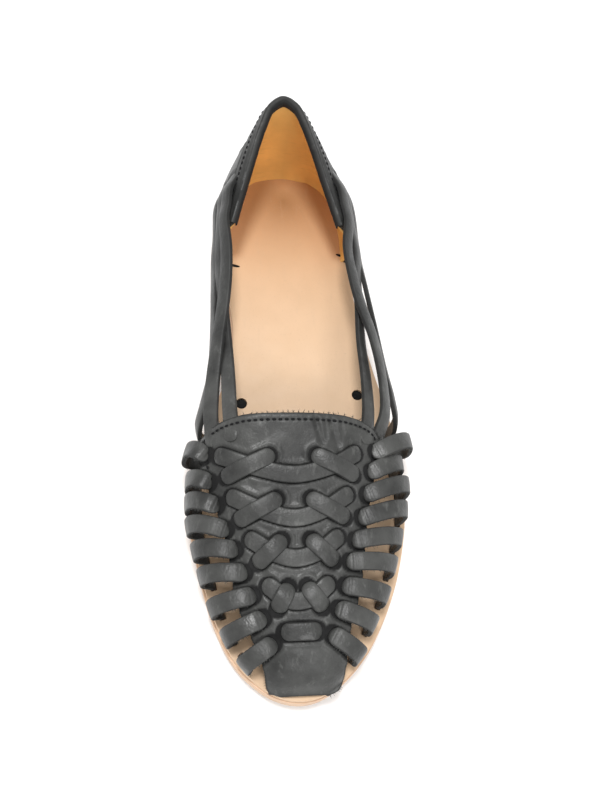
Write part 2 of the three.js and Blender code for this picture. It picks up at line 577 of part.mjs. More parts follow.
function loopRibbon(loop, grow = 0) {
  const foot = loopFoot(loop);
  const start = lastHeight(loop.at, loop.x);
  const shoulder = bedHeight(loop.outAt) + SHOULDER;
  const along = (f) => ({ at: loop.at + (loop.outAt - loop.at) * f, x: loop.x + (loop.outX - loop.x) * f });
  const arch = (f) => shoulder + (start + 0.7 - shoulder) * Math.sqrt(1 - f ** 3);
  const edge = outward(foot.at, foot.x);
  const normal = lastNormal(loop.at, loop.x);
  const up = (f) => normal.clone().lerp(edge, f * f);
  const near = along(0.1);
  const over = (f) => ({ point: place(along(f).at, along(f).x, arch(f)), up: up(f), width: THONG_WIDTH });
  const route = [
    { point: onLast(loop.at, loop.x, -1.1), up: normal, width: THONG_WIDTH * 0.62 },
    { point: onLast(near.at, near.x, THONG_THICKNESS / 2 - SINK), up: normal, width: THONG_WIDTH },
    ...[0.32, 0.55, 0.75, 0.9].map(over),
    { point: place(loop.outAt, loop.outX - loop.side, shoulder), up: edge, width: THONG_WIDTH },
  ];
  const low = [
    { point: place(foot.at, foot.x, bedHeight(foot.at) + 1), up: edge, width: THONG_WIDTH * 0.94 },
    { point: place(foot.at, foot.x, bedHeight(foot.at) - SLOT_DEPTH), up: edge, width: THONG_WIDTH * 0.9 },
  ];
  return ribbon([...route, ...low], THONG_THICKNESS, 12, grow);
}

// A band lying on the plastron through places { at, x, lift }, its ends let into the leather.
function bandOnLast(places, width, steps) {
  const end = places.length - 1;
  return ribbon(places.map(({ at, x, lift }, k) => ({
    point: onLast(at, x, k === 0 || k === end ? -1 : THONG_THICKNESS / 2 - SINK + lift),
    up: lastNormal(at, x),
    width: k === 0 || k === end ? width * 0.6 : width,
  })), THONG_THICKNESS, steps);
}

function weaveRow(row) {
  const pieces = [];
  const middle = (a, b) => (a + b) / 2;
  const crossAt = middle(row.highAt, row.lowAt);
  const crossMedial = middle(row.highMedial, row.lowMedial);
  const crossLateral = middle(row.highLateral, row.lowLateral);
  pieces.push(bandOnLast([
    { at: row.armAt, x: row.armMedial, lift: 0 },
    { at: row.armAt - 1.6, x: row.armMedial + 2.4, lift: 0 },
    { at: crossAt + 0.2, x: crossMedial, lift: 0 },
    { at: row.dipAt, x: WEAVE_MIDDLE_X, lift: 0 },
    { at: crossAt + 0.2, x: crossLateral, lift: 0 },
    { at: row.armAt - 1.6, x: row.armLateral - 2.4, lift: 0 },
    { at: row.armAt, x: row.armLateral, lift: 0 },
  ], WEAVE_WIDTH, 14));
  for (const [highX, lowX] of [[row.highMedial, row.lowMedial], [row.highLateral, row.lowLateral]]) {
    const on = (f, lift) => ({
      at: row.highAt + (row.lowAt - row.highAt) * f,
      x: highX + (lowX - highX) * f,
      lift,
    });
    pieces.push(bandOnLast([on(0, 0), on(0.16, 0.3), on(0.5, 1.5), on(0.84, 0.3), on(1, 0)], WEAVE_WIDTH, 8));
  }
  return pieces;
}

function toeStitch() {
  const { at, medial, lateral } = TOE_STITCH;
  const on = (f, lift) => ({ at, x: medial + (lateral - medial) * f, lift });
  return bandOnLast([on(0, 0), on(0.2, 0), on(0.5, 0.3), on(0.8, 0), on(1, 0)], THONG_WIDTH, 6);
}

const reachesInsole = (strap) => strap.route[strap.route.length - 1].height < 0;

function strapRibbon(strap, grow = 0) {
  const { side, station, level, frontLevel } = strap;
  const clear = STRAP_THICKNESS / 2 + GAP + 0.3 + strap.lift;
  const onCounter = (f, lift) => {
    const s = station * (1 - f);
    const l = level + (frontLevel - level) * f;
    const normal = counterNormal(side, s, l);
    return { point: counterPoint(side, s, l).addScaledVector(normal, lift), up: normal, width: STRAP_WIDTH };
  };
  const heelEnd = [
    onCounter(-0.05, -0.9),
    onCounter(0.1, 0.7),
    onCounter(0.3, clear),
    onCounter(0.6, clear),
    onCounter(0.88, clear),
  ];
  heelEnd[0].width = STRAP_WIDTH * 0.8;
  const forward = strap.route.map(({ at, x, height, flat }) => ({
    point: place(at, x, height),
    up: new THREE.Vector3(side * (1 - 0.75 * flat), 0, 0.25 + flat).normalize(),
    width: STRAP_WIDTH,
  }));
  return ribbon([...heelEnd, ...forward], STRAP_THICKNESS, 22, grow);
}

function makeUpper() {
  let upper = toSolid(makePlastron());
  const pieces = [
    ...LOOPS.map((loop) => loopRibbon(loop)),
    ...WEAVE.flatMap(weaveRow),
    toeStitch(),
    ...STRAPS.map((strap) => strapRibbon(strap)),
  ];
  for (const piece of pieces) upper = upper.add(toSolid(piece));
  return toGeometry(upper);
}

// ---------------------------------------------------------------- the shoe
const LEATHER = { color: 0x2c2d2e, roughness: 0.62, metalness: 0 };
const VEG_TAN = { color: 0xe9c9a2, roughness: 0.7, metalness: 0 };
const SOLE_EDGE = { color: 0xd9b595, roughness: 0.75, metalness: 0 };
const HEEL_STACK = { color: 0xc9a27c, roughness: 0.8, metalness: 0 };

const shoe = new THREE.Group();
function addNode(name, geometry, finish) {
  const mesh = new THREE.Mesh(geometry, new THREE.MeshStandardMaterial(finish));
  mesh.name = name;
  shoe.add(mesh);
}
addNode("outsole", makeOutsole(), SOLE_EDGE);
addNode("heel", makeHeel(), HEEL_STACK);
addNode("insole", makeInsole(), VEG_TAN);
addNode("upper", makeUpper(), LEATHER);
addNode("heel_counter", makeCounter(), LEATHER);

export default shoe;
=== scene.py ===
"""A woman's flat woven leather sandal, left shoe: its finished pieces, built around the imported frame.

Tables and shapes are in millimetres, with +Z up, the toe towards -Y and the medial side towards -X.
"at" is the distance back from the toe tip, and "height" is measured above the foot bed under the ball.
"""

import math
import random

import bpy
import numpy as np
from bpy.props import FloatProperty, FloatVectorProperty, PointerProperty
from mathutils import Matrix, Vector


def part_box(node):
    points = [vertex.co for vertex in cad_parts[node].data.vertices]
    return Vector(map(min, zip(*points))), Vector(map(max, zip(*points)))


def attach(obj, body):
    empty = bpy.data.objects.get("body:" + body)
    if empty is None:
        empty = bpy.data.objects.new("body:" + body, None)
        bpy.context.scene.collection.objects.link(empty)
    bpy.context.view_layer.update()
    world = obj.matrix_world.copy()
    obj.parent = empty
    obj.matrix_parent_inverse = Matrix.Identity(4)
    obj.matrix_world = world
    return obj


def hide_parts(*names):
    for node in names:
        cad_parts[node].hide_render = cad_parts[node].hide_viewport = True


bl_info = {
    "name": "Woven Sandal",
    "version": (1, 0, 0),
    "blender": (4, 5, 0),
    "location": "View3D > Sidebar > Sandal",
    "description": "Builds a flat woven leather sandal around its packed frame",
    "category": "Add Mesh",
}

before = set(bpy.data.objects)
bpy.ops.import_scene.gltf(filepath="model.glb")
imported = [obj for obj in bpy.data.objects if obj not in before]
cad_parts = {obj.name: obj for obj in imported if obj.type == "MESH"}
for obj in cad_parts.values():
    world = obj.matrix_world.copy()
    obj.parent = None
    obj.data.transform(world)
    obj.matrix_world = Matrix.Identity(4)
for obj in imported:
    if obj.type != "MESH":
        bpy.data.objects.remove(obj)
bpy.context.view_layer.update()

# ---------------------------------------------------------------- driving sizes, from the frame
MM = 0.001
SOLE_LOW, SOLE_HIGH = (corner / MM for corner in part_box("outsole"))
LENGTH = round(SOLE_HIGH.y - SOLE_LOW.y)
HALF_BALL = round(SOLE_HIGH.x - SOLE_LOW.x) / 2
CENTRE_X = -(SOLE_LOW.x + SOLE_HIGH.x) / 2
CENTRE_AT = LENGTH / 2
INSTEP = 42
HEEL_RISE = 6
TOE_SPRING = 5
OUTSOLE_THICKNESS = 5
INSOLE_THICKNESS = 3
INSOLE_INSET = 0.8
GAP = 0.3
BED = OUTSOLE_THICKNESS + GAP + INSOLE_THICKNESS
HEEL_FRONT = 190
GROOVE_DEPTH = 1.4
SLOT_DEPTH = 2.4
SLOT_TO_EDGE = 3.9
FOOT_TUCK = 1.6
SHOULDER = 5
TOE_CURVE_AT = 42
THONG_CORNER = 0.5
EDGE_ROUNDING = 0.3
CREASE_WIDTH = 0.32
SINK = 0.45
PRESSED_IN = 0.5
END_UNDER = -0.75
TAB_SOFTNESS = 0.8
TAB_END_AT = 42
LOOP_FIBRES = 34
RIM_FIBRES = 900
TAB_FIBRES = 260
COLLAR_FIBRES = 260
LONG_FIBRE = (1.2, 0.1)
SHORT_FIBRE = (0.75, 0.06)
THREAD_HOLES = [{"at": 124, "x": -23.2}, {"at": 128, "x": 28.6}]
THREAD_HOLE_RADIUS = 2.5
KNOT_RADIUS = 2.3
KNOT_FLATTENED = 0.3

# ---------------------------------------------------------------- tables


def table(columns, *rows):
    """Rows of numbers under named columns."""
    names = columns.split()
    return [dict(zip(names, row)) for row in rows]


# Sole outline: at is a part of LENGTH, medial and lateral are parts of half the ball width.
OUTLINE = table(
    "at medial lateral",
    (0.004, 0.214, 0.066), (0.016, 0.36, 0.204), (0.038, 0.51, 0.36), (0.06, 0.615, 0.478),
    (0.083, 0.69, 0.572), (0.129, 0.796, 0.717), (0.177, 0.874, 0.833), (0.226, 0.935, 0.917),
    (0.274, 0.985, 0.974), (0.323, 1.0, 1.0), (0.363, 0.99, 1.0), (0.403, 0.946, 0.989),
    (0.484, 0.783, 0.92), (0.56, 0.643, 0.817), (0.637, 0.585, 0.728), (0.714, 0.628, 0.667),
    (0.782, 0.667, 0.646), (0.851, 0.667, 0.624), (0.907, 0.609, 0.572), (0.948, 0.514, 0.478),
    (0.98, 0.352, 0.317), (0.996, 0.175, 0.14),
)
TOE_TIP_X = -3.4
HEEL_TIP_X = -0.8

# Side view of the foot bed: spring is a part of TOE_SPRING, rise a part of HEEL_RISE.
PROFILE = table(
    "at spring rise",
    (0, 1, 0), (20, 0.5, 0), (40, 0.12, 0), (58, 0, 0), (104, 0, 0), (125, 0, 0.13), (150, 0, 0.42),
    (175, 0, 0.75), (200, 0, 0.95), (222, 0, 1), (250, 0, 1),
)

# The last: crown is the ridge height as a part of INSTEP, crest the ridge's x, the insets how far
# its sides stand inside the sole edge, and medialPower how square its medial side is.
LAST = table(
    "at crown crest medialInset lateralInset medialPower",
    (0, 0.02, -2.8, 0.5, 0.5, 2.5), (3, 0.065, -3, 0.8, 0.8, 2.5), (6, 0.16, -3.2, 1.5, 1.5, 2.5),
    (10, 0.255, -3.5, 2.5, 2.5, 2.5), (15, 0.333, -3.9, 3.3, 3.3, 2.5), (25, 0.43, -4.5, 4, 4, 2.5),
    (40, 0.543, -5.3, 2.8, 4, 2.5), (60, 0.667, -5.9, 1.2, 4, 2.75), (80, 0.81, -7, -0.5, 4, 3),
    (103, 1, -7.8, -2.5, 4, 3), (116, 1.09, -8, -2.5, 4, 3),
)
LATERAL_POWER = 2.5
MEDIAL_ROOT = 0.5
LATERAL_ROOT = 0.555

# Cut edge of the plastron, the solid front piece, from its toe tab to its top edge.
PLASTRON = table(
    "at medial lateral",
    (2.4, -12, 6.6), (4.2, -16.2, 10.6), (6.5, -17.2, 12), (9.5, -17.8, 12.7), (14, -18.8, 13.1),
    (19, -20.8, 13.5), (25.5, -23.6, 14.9), (32, -26.4, 17.1), (41, -29, 19.8), (51, -30.4, 21.5),
    (58, -31.9, 22.3), (66, -34.2, 23.6), (75.5, -37.6, 25.8), (86, -41, 28.6), (93.5, -42.4, 30.4),
    (97.5, -41.8, 30), (100, -39, 27.6), (101.6, -34, 22.5), (102.4, -25, 14.5),
)

# The loops of thong along each side, from the slot in the plastron out over the edge and down.
LOOPS = table(
    "side at x outAt outX",
    (-1, 90.6, -39.3, 96.5, -47.3), (-1, 80, -38, 84.6, -46.7), (-1, 70.9, -35.3, 76, -47),
    (-1, 61.7, -31.8, 67, -46.6), (-1, 54.2, -28.5, 57, -44.3), (-1, 45.7, -25.2, 47, -41.8),
    (-1, 37.5, -22.2, 34.6, -38), (-1, 29.2, -18.6, 23.6, -32.9), (-1, 20.3, -15, 13.4, -26.2),
    (1, 90.7, 27.8, 100, 47), (1, 82.5, 25.4, 90.2, 42.2), (1, 73.8, 23.2, 81.4, 44.6),
    (1, 64.9, 20.7, 71.4, 43), (1, 56.5, 17.7, 59.8, 39.8), (1, 48.6, 15.2, 48.7, 36.2),
    (1, 39.8, 13, 37, 31.9), (1, 31.6, 10, 26.1, 25.6), (1, 22.7, 7.4, 14.8, 19.2),
)

# Four rows of weave: a band that dips through the middle, and two stitches crossing it.
WEAVE = table(
    "armAt armMedial armLateral dipAt highAt highMedial highLateral lowAt lowMedial lowLateral",
    (88.8, -34, 19, 80, 86.8, -15.4, 2.8, 80.6, -31.2, 17.8),
    (73.2, -29.6, 15.2, 64.3, 71.2, -12.7, 0.4, 64.6, -26.6, 13.5),
    (57.5, -22.8, 10.9, 49.8, 56.5, -11, 0, 48.7, -20, 8.6),
    (40.5, -16.6, 6.6, 34.6, 39.6, -8.9, -1.9, 32.2, -13, 3.8),
)
WEAVE_MIDDLE_X = -5.8
TOE_STITCH = {"at": 24, "medial": -10.4, "lateral": 1.6}

# The counter round the heel, half of it from its front edge to the back seam.
COUNTER = table(
    "lowAt lowHalf midAt midHalf topAt topHalf topHeight",
    (195, 28, 195, 31, 197.5, 24.6, 31), (206, 28.1, 206.5, 31, 206.5, 21.4, 35),
    (217, 27.3, 218, 30, 216, 18, 39.5), (228, 24.9, 229.5, 26.8, 226, 14.2, 46),
    (236.8, 20, 239, 21, 235, 10.4, 51.5), (242.5, 12.6, 245, 12.8, 241.8, 6.2, 56),
    (244.8, 0, 247.2, 0, 244.4, 0, 58),
)
BACK_SEAM = len(COUNTER) - 1
COUNTER_MID = 0.42
COUNTER_MID_HEIGHT = 16
COUNTER_MID_RISE = 0.8
LEAN_FOOT_X = -0.5
LEAN_PER_HEIGHT = -0.075

# Side straps, three on each side. station and level place the slot on the counter, frontLevel where
# the strap leaves the counter's front, lift how far it rides over its neighbour. The route then runs
# forward through (at, x, height, flat); flat is 0 where it stands on edge and 1 where it lies flat.
STRAPS = table(
    "side station level frontLevel lift route",
    (-1, 2.35, 0.84, 0.92, 1.1, [
        (184, -29.8, 30.2, 0.4), (170, -30.2, 28.6, 0.45), (157, -31.6, 27.4, 0.5), (143, -33.6, 26, 0.5),
        (125, -35.9, 25, 0.7), (109, -37, 26.6, 0.8), (99, -36.8, 28.4, 0.6), (93, -36.5, 29, 0.45)]),
    (-1, 2.2, 0.7, 0.79, 0.2, [
        (186, -32.4, 26, 0.3), (171, -32.2, 25.4, 0.3), (157, -31.4, 25, 0.3), (142, -30.6, 25.6, 0.4),
        (124, -30, 28, 0.6), (109, -29.8, 31.2, 0.75), (99, -29.5, 34.6, 0.7), (93, -29.4, 34.1, 0.7)]),
    (-1, 2.05, 0.54, 0.58, 0, [
        (186, -34.4, 20.8, 0.1), (170, -34.8, 20.9, 0.05), (150, -35.2, 20.6, 0.05),
        (130, -36.4, 19.8, 0.1), (115.5, -39.6, 17.8, 0.15), (107.8, -41.8, 13, 0.1),
        (105.1, -40.6, 5.5, 0), (104.9, -38.5, -2.2, 0)]),
    (1, 2.6, 0.84, 0.92, 1.1, [
        (186, 23.6, 30.4, 0.4), (173, 25, 29, 0.45), (159, 27.6, 28, 0.5), (143, 32, 26.6, 0.4),
        (122, 34.6, 25, 0.35), (109, 34.2, 24, 0.4), (99, 30.2, 24.9, 0.45), (93, 28, 27, 0.45)]),
    (1, 2.6, 0.7, 0.79, 0.2, [
        (187, 28.6, 25.2, 0.3), (173, 27.6, 25.4, 0.3), (159, 27.5, 24.6, 0.3), (143, 27, 24.4, 0.35),
        (124, 27.2, 26.2, 0.45), (109, 26.6, 27.4, 0.55), (99, 24.6, 29.9, 0.6), (93, 22.5, 31, 0.6)]),
    (1, 2.6, 0.54, 0.58, 0, [
        (187, 30.1, 21.2, 0.15), (172, 32, 20.9, 0.05), (151, 34.6, 20.6, 0.05), (132, 37, 19.8, 0.1),
        (118.4, 39.6, 17.8, 0.15), (111.2, 41.4, 13, 0.1), (108.7, 41.3, 5.5, 0), (108.5, 39.5, -2.2, 0)]),
)

# Creases in the plastron: soft troughs from one place to another, with a width and a depth.
CREASES = table(
    "fromAt fromX toAt toX width depth",
    (100.3, 2.6, 91.5, 5.2, 1.1, 0.5), (100, 6.4, 93.5, 6.9, 0.8, 0.32), (99.6, 9.0, 89.5, 11.8, 1.4, 0.55),
    (98.8, 13.4, 93.5, 13.1, 0.9, 0.26), (96.5, -12, 91, -20, 2.2, 0.2), (93, -30, 88.5, -25, 1.8, 0.22),
    (84, -26, 76.5, -22.5, 1.6, 0.22), (68.5, 12, 60.5, 15.5, 1.6, 0.25),
    (70, -24, 61, -27, 1.7, 0.25), (53.5, -16, 45.5, -18.5, 1.5, 0.22), (52.8, 6.8, 45, 9.6, 1.5, 0.22),
    (14.5, -14, 11.5, 8, 2.4, 0.2), (9, -12, 7.6, 6, 1.6, 0.16),
)

# ---------------------------------------------------------------- reading the tables


def read(rows, column, at):
    """A smooth reading of one column, by a cubic through the rows with bounded slopes."""
    places = np.array([row["at"] for row in rows], float)
    values = np.array([row[column] for row in rows], float)
    rise = np.diff(values) / np.diff(places)
    turning = rise[:-1] * rise[1:]
    total = np.where(turning > 0, rise[:-1] + rise[1:], 1.0)
    slope = np.concatenate([rise[:1], np.where(turning > 0, 2 * turning / total, 0), rise[-1:]])
    at = np.clip(np.asarray(at, float), places[0], places[-1])
    i = np.clip(np.searchsorted(places, at, side="right") - 1, 0, len(places) - 2)
    span = places[i + 1] - places[i]
    t = (at - places[i]) / span
    held = values[i] * (1 + 2 * t) * (1 - t) ** 2 + values[i + 1] * t * t * (3 - 2 * t)
    return held + span * (slope[i] * t * (1 - t) ** 2 + slope[i + 1] * t * t * (t - 1))


def unit(vectors):
    return vectors / np.maximum(np.linalg.norm(vectors, axis=-1, keepdims=True), 1e-9)


def bell(distance, width):
    """1 at no distance, falling away softly over a width."""
    return np.exp(-((distance / width) ** 2))


def eased(even, straight):
    """Even steps from 0 to 1 drawn closer together at both ends; straight is the part left even."""
    return straight * even + (1 - straight) * (0.5 - 0.5 * np.cos(np.pi * even))


def distances_along(line):
    """How far each point of a line is along it."""
    return np.concatenate([[0], np.cumsum(np.linalg.norm(np.diff(line[:, :3], axis=0), axis=1))])


def through(points, per, closed=False):
    """A smooth line through points of three or more numbers, spaced by the first three of them."""
    p = np.asarray(points, float)
    if closed:
        p = np.concatenate([p[-1:], p, p[:2]])
    else:
        p = np.concatenate([2 * p[:1] - p[1:2], p, 2 * p[-1:] - p[-2:-1]])
    t = (np.arange(per) / per)[:, None]
    line = []
    for p0, p1, p2, p3 in zip(p, p[1:], p[2:], p[3:]):
        a, b, c = (max(np.linalg.norm((q - r)[:3]) ** 0.5, 1e-4) for q, r in ((p1, p0), (p2, p1), (p3, p2)))
        leave = ((p1 - p0) / a - (p2 - p0) / (a + b) + (p2 - p1) / b) * b
        arrive = ((p2 - p1) / b - (p3 - p1) / (b + c) + (p3 - p2) / c) * b
        line.append(p1 * (1 + 2 * t) * (1 - t) ** 2 + p2 * t * t * (3 - 2 * t)
                    + leave * t * (1 - t) ** 2 + arrive * t * t * (t - 1))
    return np.concatenate(line if closed else [*line, p[-2:-1]])


def sole_outline():
    """The closed sole outline as (x, at, 0), lateral side first, with the heel tip's place in it."""
    lateral = [(row["lateral"] * HALF_BALL, row["at"] * LENGTH, 0) for row in OUTLINE]
    medial = [(-row["medial"] * HALF_BALL, row["at"] * LENGTH, 0) for row in reversed(OUTLINE)]
    knots = [(TOE_TIP_X, 0, 0), *lateral, (HEEL_TIP_X, LENGTH, 0), *medial]
    per = 12
    return through(knots, per, closed=True), per * (len(lateral) + 1)


OUTLINE_LINE, HEEL_TIP = sole_outline()


def inset_sides(inset):
    """The outline's two sides moved inwards, as {side: (at, x)} for reading."""
    along = np.roll(OUTLINE_LINE, -1, axis=0) - np.roll(OUTLINE_LINE, 1, axis=0)
    inward = unit(np.stack([-along[:, 1], along[:, 0], along[:, 2]], axis=1))
    moved = OUTLINE_LINE + inset * inward
    lateral = moved[: HEEL_TIP + 1]
    medial = np.concatenate([moved[HEEL_TIP:], moved[:1]])[::-1]
    return {1: (lateral[:, 1], lateral[:, 0]), -1: (medial[:, 1], medial[:, 0])}


SIDES = inset_sides(0)


def edge_x(side, at, sides=SIDES):
    return np.interp(at, *sides[side])


def edge_distance(at, x):
    return np.hypot(OUTLINE_LINE[:, 1] - at, OUTLINE_LINE[:, 0] - x).min()


def outward(at, x):
    """The way straight out of the sole's edge, at the edge nearest to a place."""
    nearest = int(np.hypot(OUTLINE_LINE[:, 1] - at, OUTLINE_LINE[:, 0] - x).argmin())
    count = len(OUTLINE_LINE)
    before, after = OUTLINE_LINE[(nearest - 2) % count], OUTLINE_LINE[(nearest + 2) % count]
    return unit(np.array([after[1] - before[1], before[0] - after[0], 0.0]))


def bed_height(at):
    return TOE_SPRING * read(PROFILE, "spring", at) + HEEL_RISE * read(PROFILE, "rise", at)


def last_height(at, x):
    """Outer face of the leather over the last, above the ball's foot bed."""
    at, x = np.broadcast_arrays(np.asarray(at, float), np.asarray(x, float))
    crest = read(LAST, "crest", at)
    medial = x < crest
    edge = np.where(medial, edge_x(-1, at) + read(LAST, "medialInset", at),
                    edge_x(1, at) - read(LAST, "lateralInset", at))
    power = np.where(medial, read(LAST, "medialPower", at), LATERAL_POWER)
    root = np.where(medial, MEDIAL_ROOT, LATERAL_ROOT)
    across = np.minimum(1, np.abs((x - crest) / (edge - crest)))
    return bed_height(at) + INSTEP * read(LAST, "crown", at) * (1 - across ** power) ** root


def place(at, x, height):
    """Where a place on the shoe is in the frame."""
    at, x, height = np.broadcast_arrays(*(np.asarray(v, float) for v in (at, x, height)))
    return np.stack([x - CENTRE_X, at - CENTRE_AT, height + BED], axis=-1)


def last_normal(at, x):
    step = 0.4
    across = (last_height(at, x + step) - last_height(at, x - step)) / (2 * step)
    along = (last_height(at + step, x) - last_height(at - step, x)) / (2 * step)
    return unit(np.stack([-across, -along, np.ones_like(across)], axis=-1))


def on_last(at, x, lift):
    at, x = np.asarray(at, float), np.asarray(x, float)
    lift = np.asarray(lift, float)[..., None]
    return place(at, x, last_height(at, x)) + last_normal(at, x) * lift


# ---------------------------------------------------------------- making pieces
MERGE = 0.02
LINE_STEPS = 14
STITCH_LOW = 0.8


def deselect():
    bpy.ops.object.select_all(action="DESELECT")


def new_sheet(name, columns, rows):
    """A flat grid, and the u across and v along it of each vertex, both 0 to 1."""
    deselect()
    bpy.ops.mesh.primitive_grid_add(x_subdivisions=columns, y_subdivisions=rows, size=1)
    sheet = bpy.context.object
    sheet.name = name
    sheet.data.name = name
    co = np.empty(len(sheet.data.vertices) * 3)
    sheet.data.vertices.foreach_get("co", co)
    co = co.reshape(-1, 3)
    return sheet, co[:, 0] + 0.5, co[:, 1] + 0.5


def shape(sheet, points):
    """Moves a sheet's vertices to points in millimetres."""
    sheet.data.vertices.foreach_set("co", (np.asarray(points) * MM).ravel())
    sheet.data.update()


def paint(piece, name, values):
    """A number for each vertex that a material reads, such as how near a cut edge it is."""
    attribute = piece.data.attributes.new(name, "FLOAT", "POINT")
    attribute.data.foreach_set("value", np.clip(values, 0, 1).astype(np.float32))


def work_on(piece):
    deselect()
    piece.select_set(True)
    bpy.context.view_layer.objects.active = piece


def close_up(piece):
    """Merges what meets and turns the faces outwards."""
    work_on(piece)
    bpy.ops.object.mode_set(mode="EDIT")
    bpy.ops.mesh.select_all(action="SELECT")
    bpy.ops.mesh.remove_doubles(threshold=MERGE * MM)
    bpy.ops.mesh.normals_make_consistent(inside=False)
    bpy.ops.object.mode_set(mode="OBJECT")


def apply(piece, kind, **settings):
    """Adds a modifier and applies it."""
    work_on(piece)
    modifier = piece.modifiers.new(kind.title(), kind)
    for name, value in settings.items():
        setattr(modifier, name, value)
    bpy.ops.object.modifier_apply(modifier=modifier.name)


def thicken(piece, thickness):
    """Gives a sheet its thickness, on the side that its faces point away from."""
    apply(piece, "SOLIDIFY", thickness=thickness * MM, offset=-1, use_even_offset=True)


def round_edges(piece, width, segments=2):
    apply(piece, "BEVEL", width=width * MM, segments=segments, limit_method="ANGLE",
          angle_limit=math.radians(50), use_clamp_overlap=True)


def smooth(piece, angle=40):
    work_on(piece)
    bpy.ops.object.shade_smooth_by_angle(angle=math.radians(angle))


def join(pieces, name):
    deselect()
    for piece in pieces:
        piece.select_set(True)
    bpy.context.view_layer.objects.active = pieces[0]
    if len(pieces) > 1:
        bpy.ops.object.join()
    pieces[0].name = name
    pieces[0].data.name = name
    return pieces[0]


def dress(piece, material, slot, *nodes):
    """Gives a finished piece its material and its place on the frame, and hides the frame's parts named; slot
    is not used.
    """
    piece.data.materials.clear()
    piece.data.materials.append(material)
    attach(piece, "root")
    if nodes:
        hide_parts(*nodes)


def thong_section(half_width, half_thickness, corner, crown):
    """The rounded section of a cut thong, as (across, up, how much of a cut edge) for each row."""
    corner = np.minimum(np.minimum(half_width, half_thickness) * 0.95, corner)
    flat, deep = half_width - corner, half_thickness - corner
    points = []
    for side, face in ((1, 1), (-1, 1), (-1, -1), (1, -1)):
        turn = np.radians([0, 30, 60, 90])
        turn = turn if side * face > 0 else turn[::-1]
        for angle in turn:
            across, up = side * math.cos(angle), face * math.sin(angle)
            points.append((side * flat + corner * across, face * deep + corner * up, abs(across) ** 2))
        if side * face > 0:
            for part in (0.5, 0, -0.5):
                points.append((side * part * flat, face * half_thickness, 0 * flat))
    ring = [*points, points[0]]
    across = np.stack([p[0] for p in ring], axis=1)
    up = np.stack([p[1] for p in ring], axis=1)
    raised = np.clip(1 - (across / np.maximum(half_width, 1e-6)[:, None]) ** 2, 0, 1)
    up = up + crown * raised * (up > 0)
    edge = np.stack([np.broadcast_to(p[2], half_width.shape) for p in ring], axis=1)
    return across, up, edge


def make_thong(name, line, width, thickness, creases=(), tip=(1, 1), crown=0.16, spacing=0.42):
    """A thong with round ends along a dense line of (x, y, z, up x, up y, up z)."""
    line = np.asarray(line, float)
    run = distances_along(line)
    count = max(int(run[-1] / spacing), 10)
    even = np.linspace(0, 1, count + 1)
    s = run[-1] * eased(even, 0.45)
    samples = np.stack([np.interp(s, run, line[:, k]) for k in range(6)], axis=1)
    centre, up = samples[:, :3], samples[:, 3:]
    along = unit(np.gradient(centre, axis=0))
    up = unit(up - along * (up * along).sum(1, keepdims=True))
    across = np.cross(along, up)
    ends = np.ones_like(s)
    for end, distance in zip(tip, (s, run[-1] - s)):
        near = np.clip(distance / (end * width / 2), 0, 1)
        ends *= np.sqrt(np.maximum(1 - (1 - near) ** 2, 1e-5))
    half_width = width / 2 * ends
    half_thickness = thickness / 2 * np.sqrt(ends)
    sx, sy, edge = thong_section(half_width, half_thickness, THONG_CORNER, crown)
    for crease_at, depth in creases:
        trough = depth * bell(s - crease_at, CREASE_WIDTH)
        sy = sy - trough[:, None] * (sy > 0)
    points = centre[:, None] + across[:, None] * sx[..., None] + up[:, None] * sy[..., None]
    thong, _, _ = new_sheet(name, points.shape[1] - 1, count)
    shape(thong, points.reshape(-1, 3))
    paint(thong, "cut_edge", edge.ravel())
    close_up(thong)
    return thong


def drape(route):
    """A line on the plastron through (at, x, lift), as (x, y, z, up x, up y, up z)."""
    line = through([(at, x, 0, lift) for at, x, lift in route], LINE_STEPS)
    at, x, lift = line[:, 0], line[:, 1], line[:, 3]
    return np.concatenate([on_last(at, x, lift), last_normal(at, x)], axis=1)


def copies(model, name, matrices):
    """One piece made of a copy of the model at each matrix, in metres; the model goes."""
    made = []
    for matrix in matrices:
        copy = model.copy()
        copy.data = model.data.copy()
        copy.data.transform(matrix)
        bpy.context.scene.collection.objects.link(copy)
        made.append(copy)
    bpy.data.objects.remove(model)
    return join(made, name)


def standing(point, along, up):
    """A matrix that puts a small model at a point in millimetres, its X along and its Z up."""
    along, up = Vector(along).normalized(), Vector(up)
    up = (up - along * up.dot(along)).normalized()
    side = up.cross(along)
    turn = Matrix((along, side, up)).transposed().to_4x4()
    return Matrix.Translation(Vector(point) * MM) @ turn


def sew(name, line, pitch, length, thickness):
    """A row of stitches along a dense line of (x, y, z, up x, up y, up z)."""
    deselect()
    bpy.ops.mesh.primitive_uv_sphere_add(segments=10, ring_count=6, radius=0.5 * MM)
    stitch = bpy.context.object
    stitch.data.transform(Matrix.Diagonal((length, thickness, thickness * STITCH_LOW, 1)))
    bpy.ops.object.shade_smooth()
    line = np.asarray(line, float)
    run = distances_along(line)
    middles = np.arange(pitch / 2, run[-1], pitch)
    sample = np.stack([np.interp(middles, run, line[:, k]) for k in range(6)], axis=1)
    ahead = np.stack([np.interp(middles + 0.3, run, line[:, k]) for k in range(3)], axis=1)
    behind = np.stack([np.interp(middles - 0.3, run, line[:, k]) for k in range(3)], axis=1)
    along = ahead - behind
    return copies(stitch, name, [standing(p[:3], a, p[3:]) for p, a in zip(sample, along)])


